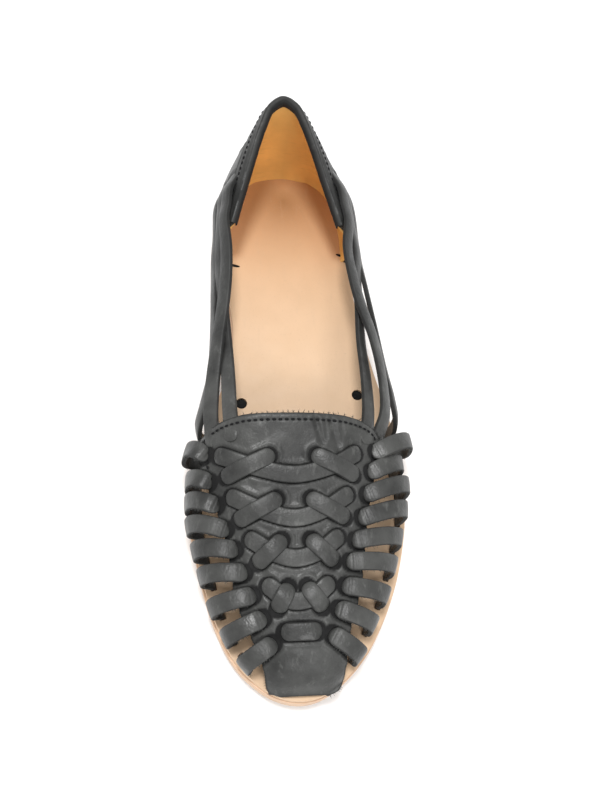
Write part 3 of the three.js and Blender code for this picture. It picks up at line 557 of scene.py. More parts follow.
def fray(name, places, seed, length, thickness):
    """Stray fibres, one at each (point, direction), each a little bent away from it."""
    chance = random.Random(seed)
    deselect()
    radius = thickness * MM
    bpy.ops.mesh.primitive_cone_add(vertices=3, radius1=radius, radius2=thickness * 0.2 * MM, depth=MM)
    fibre = bpy.context.object
    fibre.data.transform(Matrix.Rotation(math.pi / 2, 4, "Y") @ Matrix.Translation((0, 0, 0.5 * MM)))
    matrices = []
    for point, direction in places:
        bend = Vector([chance.gauss(0, 0.8) for _ in range(3)])
        lean = (Vector(direction).normalized() + bend).normalized()
        stretch = Matrix.Diagonal((length * chance.uniform(0.35, 1.25), 1, 1, 1))
        matrices.append(standing(point, lean, lean.orthogonal()) @ stretch)
    return copies(fibre, name, matrices)


# ---------------------------------------------------------------- materials
# The middle of the darker place that the heel leaves on the foot bed, in metres.
SEAT = (0, 0.105, 0.014)


class Finish:
    """A material's node tree, with short ways to add and join nodes."""

    def __init__(self, name):
        self.material = bpy.data.materials.new(name)
        self.material.use_nodes = True
        self.tree = self.material.node_tree
        self.shader = self.tree.nodes["Principled BSDF"]
        self.place = self.add("ShaderNodeTexCoord").outputs["Object"]

    def plug(self, value, socket):
        """Joins an output to a socket, or sets the socket to a number or colour."""
        if isinstance(value, bpy.types.NodeSocket):
            self.tree.links.new(value, socket)
        else:
            socket.default_value = value

    def add(self, kind, inputs=None, **settings):
        made = self.tree.nodes.new(kind)
        for name, value in settings.items():
            setattr(made, name, value)
        for name, value in (inputs or {}).items():
            self.plug(value, made.inputs[name])
        return made

    def noise(self, scale, detail=2, roughness=0.5, stretch=(1, 1, 1)):
        turned = self.add("ShaderNodeMapping", {"Vector": self.place, "Scale": stretch})
        inputs = {"Vector": turned.outputs[0], "Scale": scale, "Detail": detail, "Roughness": roughness}
        return self.add("ShaderNodeTexNoise", inputs).outputs["Fac"]

    def cells(self, scale):
        made = self.add("ShaderNodeTexVoronoi", {"Vector": self.place, "Scale": scale}, feature="SMOOTH_F1")
        return made.outputs["Distance"]

    def painted(self, name):
        return self.add("ShaderNodeAttribute", attribute_name=name).outputs["Fac"]

    def range(self, value, low, high, to_low=0.0, to_high=1.0):
        inputs = {"Value": value, "From Min": low, "From Max": high, "To Min": to_low, "To Max": to_high}
        return self.add("ShaderNodeMapRange", inputs).outputs["Result"]

    def mix(self, factor, a, b):
        made = self.add("ShaderNodeMix", data_type="RGBA")
        for name, value in zip(("Factor_Float", "A_Color", "B_Color"), (factor, a, b)):
            self.plug(value, next(socket for socket in made.inputs if socket.identifier == name))
        return next(socket for socket in made.outputs if socket.identifier == "Result_Color")

    def maths(self, operation, a, b=0.0):
        made = self.add("ShaderNodeMath", operation=operation)
        for socket, value in zip(made.inputs, (a, b)):
            self.plug(value, socket)
        return made.outputs[0]

    def axes(self):
        """The place's X, Y and Z, each on its own."""
        return self.add("ShaderNodeSeparateXYZ", {"Vector": self.place}).outputs

    def bumps(self, *layers):
        """Bump from (height, strength, depth in millimetres), the broad ones first."""
        normal = None
        for height, strength, depth in layers:
            inputs = {"Height": height, "Strength": strength, "Distance": depth * MM}
            if normal:
                inputs["Normal"] = normal
            normal = self.add("ShaderNodeBump", inputs).outputs["Normal"]
        self.tree.links.new(normal, self.shader.inputs["Normal"])

    def set(self, **values):
        for name, value in values.items():
            self.plug(value, self.shader.inputs[name.replace("_", " ")])


def tint(colour, factor):
    return (*(channel * factor for channel in colour[:3]), 1)


def black_leather(colours):
    """Charcoal leather: grain, cloudy dye, darker towards the heel, scuffs, raw edges and painted shade round
    slots.
    """
    leather = Finish("charcoal_leather")
    base = colours.black_leather
    cloud = leather.range(leather.noise(55, 5, 0.62), 0.32, 0.68)
    body = leather.mix(cloud, tint(base, 0.4), tint(base, 1.6))
    scuff = leather.range(leather.noise(330, 4, 0.7, (1, 0.4, 1)), 0.56, 0.74, 0, 0.6)
    body = leather.mix(scuff, body, tint(base, 3.0))
    # Darker towards the heel: mixed towards a fifth of the base colour as Y goes from 0 to 60 mm.
    back = leather.range(leather.axes()["Y"], 0.0, 0.06)
    body = leather.mix(leather.maths("MULTIPLY", back, 0.6), body, tint(base, 0.2))
    body = leather.mix(leather.maths("MULTIPLY", leather.painted("cut_edge"), 0.6), body, tint(base, 0.25))
    # Painted shade: where slot_shade is painted, the colour goes to near black, standing in for the shade in
    # slots, seams and under edges.
    body = leather.mix(leather.painted("slot_shade"), body, (0.001, 0.001, 0.001, 1))
    fine = leather.noise(900, 3, 0.6)
    gloss = leather.range(leather.noise(85, 4, 0.62), 0.3, 0.7, 0.32, 0.55)
    hidden = leather.maths("MAXIMUM", leather.painted("cut_edge"), leather.painted("slot_shade"))
    matt = leather.maths("ADD", gloss, leather.maths("MULTIPLY", hidden, 0.45))
    leather.set(Base_Color=body, Roughness=matt)
    leather.shader.inputs["Specular IOR Level"].default_value = 0.46
    leather.shader.inputs["Sheen Weight"].default_value = 0.04
    leather.shader.inputs["Sheen Roughness"].default_value = 0.45
    leather.bumps((leather.noise(150, 4, 0.6), 0.7, 0.5), (leather.cells(1300), 0.5, 0.12), (fine, 0.5, 0.08))
    return leather.material


def lining_leather(colours):
    """Orange-tan lining: darker down its middle, with faint creases across and pores."""
    lining = Finish("tan_lining")
    base = colours.lining
    middle = lining.range(lining.maths("ABSOLUTE", lining.axes()["X"]), 0.0, 0.009, 1, 0)
    cloud = lining.range(lining.noise(60, 3, 0.6), 0.35, 0.7)
    body = lining.mix(cloud, tint(base, 0.88), tint(base, 1.08))
    body = lining.mix(lining.maths("MULTIPLY", middle, 0.5), body, tint(base, 0.62))
    crease = lining.noise(240, 3, 0.6, (0.3, 0.3, 2.2))
    body = lining.mix(lining.range(crease, 0.56, 0.72, 0, 0.4), body, tint(base, 0.6))
    lining.set(Base_Color=body, Roughness=lining.range(lining.noise(90), 0.3, 0.7, 0.5, 0.66))
    lining.bumps((crease, 0.4, 0.25), (lining.cells(1800), 0.3, 0.06))
    return lining.material


def insole_leather(colours):
    """Undyed foot bed: pale in front, browner under the heel, with pores, rub marks, a burnished edge and
    painted shade towards its sides.
    """
    insole = Finish("foot_bed_leather")
    base = colours.insole
    axes = insole.axes()
    back = insole.range(axes["Y"], 0.01, 0.115)
    out = insole.maths("ABSOLUTE", axes["X"])
    from_seat = insole.add("ShaderNodeVectorMath", {0: insole.place, 1: SEAT}, operation="DISTANCE")
    seat = insole.range(from_seat.outputs["Value"], 0.0, 0.05, 1, 0)
    body = insole.mix(insole.range(insole.noise(38, 4, 0.6), 0.32, 0.7), tint(base, 0.95), tint(base, 1.05))
    body = insole.mix(insole.maths("MULTIPLY", back, 0.62), body, colours.insole_heel[:] + (1,))
    seat = insole.maths("MULTIPLY", insole.maths("MULTIPLY", seat, seat), 0.95)
    body = insole.mix(seat, body, tint(colours.insole_heel, 0.5))
    # Painted shade: up to 12 % darker towards the sides, from 20 to 44 mm off the middle.
    body = insole.mix(insole.range(out, 0.02, 0.044, 0, 0.12), body, tint(base, 0.8))
    pore = insole.range(insole.noise(1100, 2, 0.6), 0.62, 0.78, 0, 0.3)
    body = insole.mix(pore, body, tint(base, 0.66))
    streak = insole.range(insole.noise(210, 3, 0.7, (1.4, 0.22, 1)), 0.58, 0.8, 0, 0.22)
    body = insole.mix(streak, body, tint(base, 0.78))
    body = insole.mix(insole.maths("MULTIPLY", insole.painted("cut_edge"), 0.35), body, tint(base, 0.62))
    insole.set(Base_Color=body, Roughness=insole.range(insole.noise(120), 0.3, 0.7, 0.46, 0.62))
    insole.bumps((insole.noise(95, 3, 0.6), 0.25, 0.3), (insole.cells(1900), 0.25, 0.05))
    return insole.material


def layered_leather(name, base, layer, depth):
    """Sole leather seen on its cut edge: pressed fibres in level streaks, and darker glue lines."""
    sole = Finish(name)
    fibre = sole.noise(170, 4, 0.7, (0.35, 0.35, 5.5))
    body = sole.mix(sole.range(fibre, 0.3, 0.7), tint(base, 0.8), tint(base, 1.1))
    body = sole.mix(sole.range(sole.noise(26, 3), 0.4, 0.7, 0, 0.4), body, tint(base, 0.88))
    height = sole.maths("FRACT", sole.maths("DIVIDE", sole.axes()["Z"], layer * MM))
    line = sole.range(sole.maths("ABSOLUTE", sole.maths("SUBTRACT", height, 0.5)), 0.43, 0.5, 0, depth)
    body = sole.mix(line, body, tint(base, 0.42))
    sole.set(Base_Color=body, Roughness=sole.range(sole.noise(140), 0.3, 0.7, 0.55, 0.75))
    sole.bumps((fibre, 0.4, 0.25), (sole.noise(1200, 2), 0.3, 0.06))
    return sole.material


def thread_finish(colours):
    """Waxed black thread, twisted."""
    thread = Finish("black_thread")
    twist = thread.noise(2600, 2, 0.5)
    body = thread.mix(thread.range(twist, 0.35, 0.65), tint(colours.thread, 0.6), tint(colours.thread, 1.5))
    thread.set(Base_Color=body, Roughness=thread.range(twist, 0.3, 0.7, 0.65, 0.85))
    thread.shader.inputs["Specular IOR Level"].default_value = 0.25
    thread.bumps((twist, 0.5, 0.1))
    return thread.material


def floor_finish(colours):
    """A pale studio floor with a trace of mottling."""
    floor = Finish("studio_floor")
    mottling = floor.range(floor.noise(3, 2), 0.3, 0.7)
    body = floor.mix(mottling, tint(colours.floor, 0.995), tint(colours.floor, 1.0))
    floor.set(Base_Color=body, Roughness=0.9)
    floor.bumps((floor.noise(60), 0.03, 0.1))
    return floor.material


FINISHES = {}


def finish(name, make, *arguments):
    """A material, made the first time that it is asked for."""
    if name not in FINISHES:
        FINISHES[name] = make(*arguments)
    return FINISHES[name]


def dress_black(piece, colours, *nodes):
    dress(piece, finish("leather", black_leather, colours), "black_leather", *nodes)


def dress_thread(piece, colours):
    dress(piece, finish("thread", thread_finish, colours), "black_leather")


# ---------------------------------------------------------------- sizes and colours to change


class SandalSizes(bpy.types.PropertyGroup):
    thong_width: FloatProperty(name="Thong width", description="Width of the loops at the sides",
                               default=0.007, unit="LENGTH")
    thong_thickness: FloatProperty(name="Thong thickness", description="Thickness of the thong leather",
                                   default=0.002, unit="LENGTH")
    weave_width: FloatProperty(name="Weave width", description="Width of the woven bands",
                               default=0.0066, unit="LENGTH")
    strap_width: FloatProperty(name="Strap width", description="Width of the side straps",
                               default=0.006, unit="LENGTH")
    strap_thickness: FloatProperty(name="Strap thickness", description="Thickness of the side straps",
                                   default=0.0019, unit="LENGTH")
    plastron_wall: FloatProperty(name="Plastron wall", description="Thickness of the solid front piece",
                                 default=0.002, unit="LENGTH")
    counter_wall: FloatProperty(name="Counter wall", description="Thickness of the counter with its lining",
                                default=0.0026, unit="LENGTH")
    collar_width: FloatProperty(name="Collar strip width", description="Width of the counter's top strip",
                                default=0.0056, unit="LENGTH")
    stitch_pitch: FloatProperty(name="Stitch pitch", description="Distance from one stitch to the next",
                                default=0.0024, unit="LENGTH")
    seam_margin: FloatProperty(name="Seam margin", description="Distance of the sewing from the raw edge",
                               default=0.0026, unit="LENGTH")


class SandalColours(bpy.types.PropertyGroup):
    black_leather: FloatVectorProperty(name="Black leather", description="Dye of the upper and counter",
                                       default=(0.037, 0.0375, 0.0355), subtype="COLOR", min=0, max=1)
    lining: FloatVectorProperty(name="Lining", description="Leather inside the counter",
                                default=(0.90, 0.50, 0.14), subtype="COLOR", min=0, max=1)
    insole: FloatVectorProperty(name="Foot bed", description="Undyed leather under the forefoot",
                                default=(0.68, 0.475, 0.305), subtype="COLOR", min=0, max=1)
    insole_heel: FloatVectorProperty(name="Foot bed at the heel", description="Undyed leather under the heel",
                                     default=(0.62, 0.305, 0.11), subtype="COLOR", min=0, max=1)
    sole_edge: FloatVectorProperty(name="Sole edge", description="Cut edge of the outsole",
                                   default=(0.74, 0.52, 0.36), subtype="COLOR", min=0, max=1)
    heel_stack: FloatVectorProperty(name="Heel", description="Stacked leather of the heel",
                                    default=(0.58, 0.38, 0.23), subtype="COLOR", min=0, max=1)
    thread: FloatVectorProperty(name="Thread", description="Sewing thread",
                                default=(0.003, 0.003, 0.004), subtype="COLOR", min=0, max=1)
    floor: FloatVectorProperty(name="Floor", description="Studio floor",
                               default=(0.93, 0.93, 0.93), subtype="COLOR", min=0, max=1)


# ---------------------------------------------------------------- sole
SOLE_TIP_GAP = 0.05
SOLE_ROUNDING = 0.55
HEEL_BACK_GAP = 1.2
HEEL_INSET = 1
HEEL_ROUNDING = 0.35
INSOLE_ROUNDING = 0.5
# Height of a layer in the cut edge, and how dark its glue line is.
SOLE_LAYERS = (5.4, 0.3)
HEEL_LAYERS = (2.85, 0.75)


def sole_sheet(name, start, end, inset, columns, rows, height_of):
    """The top face of a sole piece between two distances."""
    sheet, u, v = new_sheet(name, columns, rows)
    sides = inset_sides(inset)
    at = start + (end - start) * eased(v, 0.35)
    left, right = edge_x(-1, at, sides), edge_x(1, at, sides)
    x = left + (right - left) * eased(u, 0.6)
    shape(sheet, place(at, x, height_of(at)))
    return sheet


def outsole_top(at):
    return bed_height(at) - INSOLE_THICKNESS - GAP


class SANDAL_OT_sole(bpy.types.Operator):
    """Makes the outsole with its rounded edge, and the low stacked heel"""

    bl_idname = "sandal.sole"
    bl_label = "Outsole and Heel"

    def execute(self, context):
        colours = context.scene.sandal_colours
        outsole = sole_sheet("outsole_finished", SOLE_TIP_GAP, LENGTH - SOLE_TIP_GAP, 0, 40, 220, outsole_top)
        thicken(outsole, OUTSOLE_THICKNESS)
        round_edges(outsole, SOLE_ROUNDING, 3)
        smooth(outsole)
        dress(outsole, finish("sole", layered_leather, "sole_leather", colours.sole_edge, *SOLE_LAYERS),
              "sole_edge", "outsole")
        heel = sole_sheet("heel_finished", HEEL_FRONT, LENGTH - HEEL_BACK_GAP, HEEL_INSET, 30, 60,
                          lambda at: outsole_top(at) - OUTSOLE_THICKNESS - GAP)
        face = len(heel.data.vertices)
        thicken(heel, HEEL_RISE)
        for vertex in heel.data.vertices[face:]:
            vertex.co.z = 0
        round_edges(heel, HEEL_ROUNDING)
        smooth(heel)
        dress(heel, finish("heel", layered_leather, "stacked_leather", colours.heel_stack, *HEEL_LAYERS),
              "heel_stack", "heel")
        return {"FINISHED"}


# ---------------------------------------------------------------- loops
CREASES_FROM = 2.6
CREASE_STEP = 0.95
STARTS_UNDER = -1.1


def loop_foot(loop):
    """Where a loop enters the insole: moved in from the edge until the insole can hold its slot."""
    inward = unit(np.array([max(TOE_CURVE_AT - loop["outAt"], 0), -loop["outX"]]))
    pull = FOOT_TUCK
    while True:
        at, x = loop["outAt"] + inward[0] * pull, loop["outX"] + inward[1] * pull
        inside = abs(edge_x(loop["side"], at)) > abs(x)
        if inside and edge_distance(at, x) >= SLOT_TO_EDGE:
            return at, x
        pull += 0.1


def loop_line(loop):
    """The line of a loop, from its slot in the plastron to its slot in the insole."""
    at, x = loop["at"], loop["x"]
    out_at, out_x = loop["outAt"], loop["outX"]
    shoulder = bed_height(out_at) + SHOULDER
    start = last_height(at, x)
    foot_at, foot_x = loop_foot(loop)
    bed = bed_height(foot_at)

    def over(f):
        height = shoulder + (start + 0.7 - shoulder) * math.sqrt(1 - f ** 3)
        return place(at + (out_at - at) * f, x + (out_x - x) * f, height)

    back_at, back_x = at - (out_at - at) * 0.05, x - (out_x - x) * 0.05
    line = through([
        on_last(back_at, back_x, STARTS_UNDER), on_last(at, x, -0.15), over(0.17), over(0.36), over(0.56),
        over(0.75), over(0.9), place(out_at, out_x - loop["side"], shoulder),
        place(foot_at, foot_x, bed + 1), place(foot_at, foot_x, bed - SLOT_DEPTH)], 12)
    edge = outward(foot_at, foot_x)
    from_slot = unit(np.array([out_at - at, x - out_x, 0.0]))
    at_foot = np.array([edge[1], -edge[0], 0.0])
    part = np.clip(np.linspace(-0.5, 1.5, len(line)), 0, 1)[:, None]
    across = unit(from_slot + (at_foot - from_slot) * part * part * (3 - 2 * part))
    return np.concatenate([line, unit(np.cross(across, unit(np.gradient(line, axis=0))))], axis=1)


class SANDAL_OT_loops(bpy.types.Operator):
    """Makes the nine loops of thong down each side, with the creases where they leave their slots"""

    bl_idname = "sandal.loops"
    bl_label = "Side Loops"

    def execute(self, context):
        sizes, colours = context.scene.sandal_sizes, context.scene.sandal_colours
        width, thickness = sizes.thong_width / MM, sizes.thong_thickness / MM
        chance = random.Random(11)
        loops, frays = [], []
        for k, loop in enumerate(LOOPS):
            creases = [(CREASES_FROM + CREASE_STEP * i + chance.uniform(-0.2, 0.2), chance.uniform(0.08, 0.2))
                       for i in range(chance.choice((2, 3, 4)))]
            line = loop_line(loop)
            loops.append(make_thong(f"loop_{k}", line, width, thickness, creases))
            along = unit(np.gradient(line[:, :3], axis=0))
            across = np.cross(along, line[:, 3:])
            toeward = np.where(across[:, 1:2] < 0, across, -across)
            for _ in range(LOOP_FIBRES):
                i = chance.randrange(22, len(line) - 24)
                frays.append((line[i, :3] + toeward[i] * (width / 2 - 0.1), toeward[i] - 0.3 * line[i, 3:]))
        piece = join(loops, "side_loops")
        smooth(piece, 50)
        dress_black(piece, colours, "upper")
        dress_black(fray("loop_fibres", frays, 5, *LONG_FIBRE), colours)
        return {"FINISHED"}


# ---------------------------------------------------------------- insole
# Where the counter's front corners go into the foot bed: outer end and pointed inner end, as at and x.
COUNTER_FRONT_SLITS = [(192.6, -28.6, 191.4, -22.6), (197.6, 28.4, 199.4, 23.2)]


def loop_cutter(line, width, thickness):
    """A thong grown by the gap round it, to cut its slot."""
    foot = line[-30:]
    below = foot[-1].copy()
    below[2] -= 2
    return make_thong("slot", np.vstack([foot, below]), width + 2 * GAP, thickness + 2 * GAP,
                      tip=(0.15, 0.15), crown=0, spacing=0.7)


class SANDAL_OT_insole(bpy.types.Operator):
    """Makes the foot bed with its slots and thread holes, the knots in them and the counter's front ends in
    their slits, both painted fully shaded
    """

    bl_idname = "sandal.insole"
    bl_label = "Foot Bed"

    def execute(self, context):
        sizes, colours = context.scene.sandal_sizes, context.scene.sandal_colours
        insole = sole_sheet("insole_finished", INSOLE_INSET, LENGTH - INSOLE_INSET, INSOLE_INSET, 60, 240,
                            bed_height)
        thicken(insole, INSOLE_THICKNESS)
        round_edges(insole, INSOLE_ROUNDING, 3)
        cutters = [loop_cutter(loop_line(loop), sizes.thong_width / MM,
                               sizes.thong_thickness / MM) for loop in LOOPS]
        for strap in STRAPS:
            if strap["route"][-1][2] < 0:
                cutters.append(loop_cutter(strap_line(strap, sizes.strap_thickness / MM),
                                           sizes.strap_width / MM, sizes.strap_thickness / MM))
        for hole in THREAD_HOLES:
            deselect()
            bpy.ops.mesh.primitive_cylinder_add(vertices=32, radius=THREAD_HOLE_RADIUS * MM, depth=4.4 * MM,
                                                location=place(hole["at"], hole["x"], 0.4) * MM)
            bpy.ops.object.transform_apply(location=True, rotation=True, scale=True)
            cutters.append(bpy.context.object)
        for cutter in cutters:
            apply(insole, "BOOLEAN", operation="DIFFERENCE", object=cutter, solver="EXACT")
            bpy.data.objects.remove(cutter)
        smooth(insole, 35)
        dress(insole, finish("insole", insole_leather, colours), "insole_leather", "insole")
        knots = []
        for hole in THREAD_HOLES:
            deselect()
            height = float(bed_height(hole["at"])) - 0.75
            bpy.ops.mesh.primitive_uv_sphere_add(segments=24, ring_count=12, radius=KNOT_RADIUS * MM)
            knot = bpy.context.object
            knot.data.transform(Matrix.Diagonal((1, 1, KNOT_FLATTENED, 1)))
            knot.data.transform(Matrix.Translation(place(hole["at"], hole["x"], height) * MM))
            bpy.ops.object.shade_smooth()
            # Each black thread knot is painted fully shaded, near black: painted shade of its hole over the
            # knot's own shading.
            paint(knot, "slot_shade", np.ones(len(knot.data.vertices)))
            knots.append(knot)
        dress_black(join(knots, "thread_knots"), colours)
        slits = []
        for k, (out_at, out_x, in_at, in_x) in enumerate(COUNTER_FRONT_SLITS):
            ends = [[*place(at, x, bed_height(at) + 0.1), 0, 0, 1] for at, x in
                    ((out_at, out_x), ((out_at + in_at) / 2, (out_x + in_x) / 2), (in_at, in_x))]
            slit = make_thong(f"slit_{k}", through(ends, 12), 1.3, 0.6, tip=(0.6, 4.5), spacing=0.3)
            # Black leather ends of the counter in the slits, painted fully shaded to near black as painted
            # shade of the slits.
            paint(slit, "slot_shade", np.ones(len(slit.data.vertices)))
            slits.append(slit)
        dress_black(join(slits, "counter_front_ends_shaded"), colours)
        return {"FINISHED"}


# ---------------------------------------------------------------- plastron
# How far from its middle a woven band, and a thong, presses the plastron in.
HALF_BAND = 3.3
HALF_THONG = 3.5


def crossing(row):
    """Where a row's stitches cross its band: at, and x on the medial and on the lateral side."""
    middle_x = [(row["high" + side] + row["low" + side]) / 2 for side in ("Medial", "Lateral")]
    return (row["highAt"] + row["lowAt"]) / 2 + 0.2, *middle_x


def band_paths():
    """Every band that lies on the plastron, as (at, x) places along its middle, with its half width."""
    paths = []
    for row in WEAVE:
        cross_at, medial, lateral = crossing(row)
        arm = [(row["armAt"], row["armMedial"]), (cross_at, medial), (row["dipAt"], WEAVE_MIDDLE_X),
               (cross_at, lateral), (row["armAt"], row["armLateral"])]
        paths.append((arm, HALF_BAND))
        for side in ("Medial", "Lateral"):
            stitch = [(row["highAt"], row["high" + side]), (row["lowAt"], row["low" + side])]
            paths.append((stitch, HALF_BAND))
    toe = TOE_STITCH
    paths.append(([(toe["at"], toe["medial"]), (toe["at"], toe["lateral"])], HALF_THONG))
    for loop in LOOPS:
        paths.append(([(loop["at"], loop["x"]), (loop["outAt"], loop["outX"])], HALF_THONG))
    return paths


def distance_to(path, at, x):
    """How far places are from a path, by the straight stretches between its dense points."""
    dense = through([(a, b, 0) for a, b in path], 10)[:, :2]
    away = np.full(at.shape, 1e9)
    for (a0, x0), (a1, x1) in zip(dense, dense[1:]):
        da, dx = a1 - a0, x1 - x0
        t = np.clip(((at - a0) * da + (x - x0) * dx) / max(da * da + dx * dx, 1e-9), 0, 1)
        away = np.minimum(away, np.hypot(at - a0 - t * da, x - x0 - t * dx))
    return away


def ripple(at, x, pitch, seed):
    """A soft uneven swelling of the leather, between -1 and 1."""
    chance = random.Random(seed)
    total = np.zeros_like(at)
    for _ in range(7):
        turn, phase = chance.uniform(0, math.pi), chance.uniform(0, 2 * math.pi)
        wave = 2 * math.pi / (pitch * chance.uniform(0.7, 1.6))
        total = total + np.sin(wave * (at * math.cos(turn) + x * math.sin(turn)) + phase)
    return total / 4


def plastron_relief(at, x):
    """How far the leather stands off the last at each place, and how much painted shade darkens it round its
    bands and slots.
    """
    relief = 0.2 * ripple(at, x, 15, 3) + 0.08 * ripple(at, x, 5.5, 4)
    relief = relief * np.clip((at - PLASTRON[0]["at"]) / 9, 0, 1)
    away = np.min([distance_to(path, at, x) - half for path, half in band_paths()], axis=0)
    relief = relief - 0.15 * bell(away, 0.35) - 0.3 * (away < -0.5)
    relief = relief + 0.4 * bell(away - 1.2, 0.9)
    # Painted shade: a dark line just outside each band and thong where it goes into the plastron.
    shade = 0.97 * bell(np.maximum(away - 0.05, 0), 0.2)
    for crease in CREASES:
        path = [(crease["fromAt"], crease["fromX"]), (crease["toAt"], crease["toX"])]
        away = distance_to(path, at, x) / crease["width"]
        relief = relief - crease["depth"] * bell(away, 1)
        relief = relief + 0.45 * crease["depth"] * bell(away - 1.7, 1)
    return relief, shade


def plastron_rim():
    """The raw edge of the plastron over the top, as (at, x), from the medial side to the lateral."""
    rising = np.linspace(84, PLASTRON[-1]["at"], 60)
    medial = [(a, float(read(PLASTRON, "medial", a)), 0) for a in rising]
    lateral = [(a, float(read(PLASTRON, "lateral", a)), 0) for a in rising[::-1]]
    across = [(PLASTRON[-1]["at"], x, 0) for x in np.linspace(-22, 12, 18)]
    return np.array([*medial, *across, *lateral])[:, :2]


def rim_line(margin, lift):
    """A line on the plastron a margin inside its raw edge, as (x, y, z, up x, up y, up z)."""
    rim = plastron_rim()
    along = unit(np.gradient(rim, axis=0))
    inward = np.stack([-along[:, 1], along[:, 0]], axis=1)
    at, x = (rim + inward * margin).T
    relief, _ = plastron_relief(at, x)
    return np.concatenate([on_last(at, x, relief + lift), last_normal(at, x)], axis=1)


class SANDAL_OT_plastron(bpy.types.Operator):
    """Makes the solid front piece, pressed in round its bands, with its creases and sewn raw edge"""

    bl_idname = "sandal.plastron"
    bl_label = "Plastron"

    def execute(self, context):
        sizes, colours = context.scene.sandal_sizes, context.scene.sandal_colours
        wall, margin = sizes.plastron_wall / MM, sizes.seam_margin / MM
        sheet, u, v = new_sheet("plastron", 150, 210)
        first, last = PLASTRON[0]["at"], PLASTRON[-1]["at"]
        at = first + (last - first) * eased(v, 0.55)
        medial, lateral = read(PLASTRON, "medial", at), read(PLASTRON, "lateral", at)
        x = medial + (lateral - medial) * u
        relief, shade = plastron_relief(at, x)
        rim = [tuple(p) for p in plastron_rim()[::6]]
        from_rim = distance_to(rim, at, x)
        relief = relief - 0.14 * bell(from_rim - margin, 0.5)
        relief = relief - 0.35 * bell(from_rim, 0.8)
        points = on_last(at, x, relief)
        floor = BED + bed_height(points[:, 1] + CENTRE_AT) + wall * 0.7
        clear = points[:, 2] - floor
        points[:, 2] = floor + 0.5 * (clear + np.sqrt(clear ** 2 + TAB_SOFTNESS ** 2)) - 0.5 * TAB_SOFTNESS
        shape(sheet, points)
        from_edge = np.min([x - medial, lateral - x, from_rim, at - first], axis=0)
        paint(sheet, "cut_edge", bell(from_edge, 0.5))
        # Painted shade along the stitch line, added to the slot shade.
        seam = 0.3 * bell(from_rim - margin, 0.4)
        paint(sheet, "slot_shade", np.maximum(shade, seam))
        thicken(sheet, wall)
        round_edges(sheet, EDGE_ROUNDING)
        smooth(sheet, 45)
        dress_black(sheet, colours, "upper")
        stitches = sew("plastron_stitches", rim_line(margin, 0.0), sizes.stitch_pitch / MM, 1.6, 0.8)
        dress_thread(stitches, colours)
        chance = random.Random(23)
        edge = rim_line(0.0, -0.5)
        out = edge[:, :3] - rim_line(1.0, -0.5)[:, :3]
        places = [(edge[i, :3], out[i] + 0.4 * edge[i, 3:]) for i in
                  (chance.randrange(len(edge)) for _ in range(RIM_FIBRES))]
        for _ in range(TAB_FIBRES):
            tab_at = chance.uniform(PLASTRON[0]["at"], TAB_END_AT)
            side = chance.choice(("medial", "lateral"))
            out_x = -1 if side == "medial" else 1
            edge_at = on_last(tab_at, float(read(PLASTRON, side, tab_at)), -0.6)
            edge_at[2] = max(edge_at[2], BED + float(bed_height(tab_at)) + 0.6)
            places.append((edge_at, np.array([out_x, -0.4, 0.1])))
        dress_black(fray("plastron_fibres", places, 9, *LONG_FIBRE), colours)
        return {"FINISHED"}


class SANDAL_OT_weave(bpy.types.Operator):
    """Makes the four woven rows and the single stitch above the toe"""

    bl_idname = "sandal.weave"
    bl_label = "Weave"

    def execute(self, context):
        sizes, colours = context.scene.sandal_sizes, context.scene.sandal_colours
        width, thickness = sizes.weave_width / MM, sizes.thong_thickness / MM
        rest = thickness / 2 - SINK - PRESSED_IN
        bands = []
        for k, row in enumerate(WEAVE):
            cross_at, medial, lateral = crossing(row)
            arm = [(row["armAt"] + 0.9, row["armMedial"] - 1.9, END_UNDER),
                   (row["armAt"] - 0.6, row["armMedial"] + 1.1, rest),
                   (cross_at, medial, rest - 0.25), (row["dipAt"], WEAVE_MIDDLE_X, rest),
                   (cross_at, lateral, rest - 0.25), (row["armAt"] - 0.6, row["armLateral"] - 1.1, rest),
                   (row["armAt"] + 0.9, row["armLateral"] + 1.9, END_UNDER)]
            bands.append(make_thong(f"arm_{k}", drape(arm), width, thickness, crown=0.22))
            for side in ("Medial", "Lateral"):
                high, low = (row["highAt"], row["high" + side]), (row["lowAt"], row["low" + side])

                def on(f, lift):
                    return (high[0] + (low[0] - high[0]) * f, high[1] + (low[1] - high[1]) * f, lift)

                cross = [on(-0.12, END_UNDER), on(0.06, rest + 0.1), on(0.3, rest + 1.0),
                         on(0.5, rest + 1.35), on(0.7, rest + 1.0), on(0.94, rest + 0.1), on(1.12, END_UNDER)]
                bands.append(make_thong(f"cross_{k}_{side}", drape(cross), width, thickness, crown=0.3))
        stitch = [(TOE_STITCH["at"], x, lift) for x, lift in (
            (TOE_STITCH["medial"] - 1.6, END_UNDER), (-9.2, rest), (-4.4, rest + 0.3), (0.4, rest),
            (TOE_STITCH["lateral"] + 1.6, END_UNDER))]
        bands.append(make_thong("toe_stitch", drape(stitch), width, thickness, crown=0.25))
        piece = join(bands, "weave")
        smooth(piece, 50)
        dress_black(piece, colours, "upper")
        return {"FINISHED"}


# ---------------------------------------------------------------- counter
# Slits and soft folds of the counter, each end as (q, level) on its outer face.
BACK_SLITS = [((-0.36, 0.72), (-0.42, 0.84)), ((0.34, 0.7), (0.4, 0.82))]
COUNTER_FOLDS = [
    ((-0.1, 0.25), (-0.3, 0.62), 2.6, 0.35), ((0.12, 0.3), (0.26, 0.68), 2.4, 0.3),
    ((-0.5, 0.2), (-0.62, 0.55), 2.2, 0.3), ((0.5, 0.18), (0.66, 0.5), 2.4, 0.3),
    ((-0.05, 0.62), (0.1, 0.78), 1.8, 0.22),
]
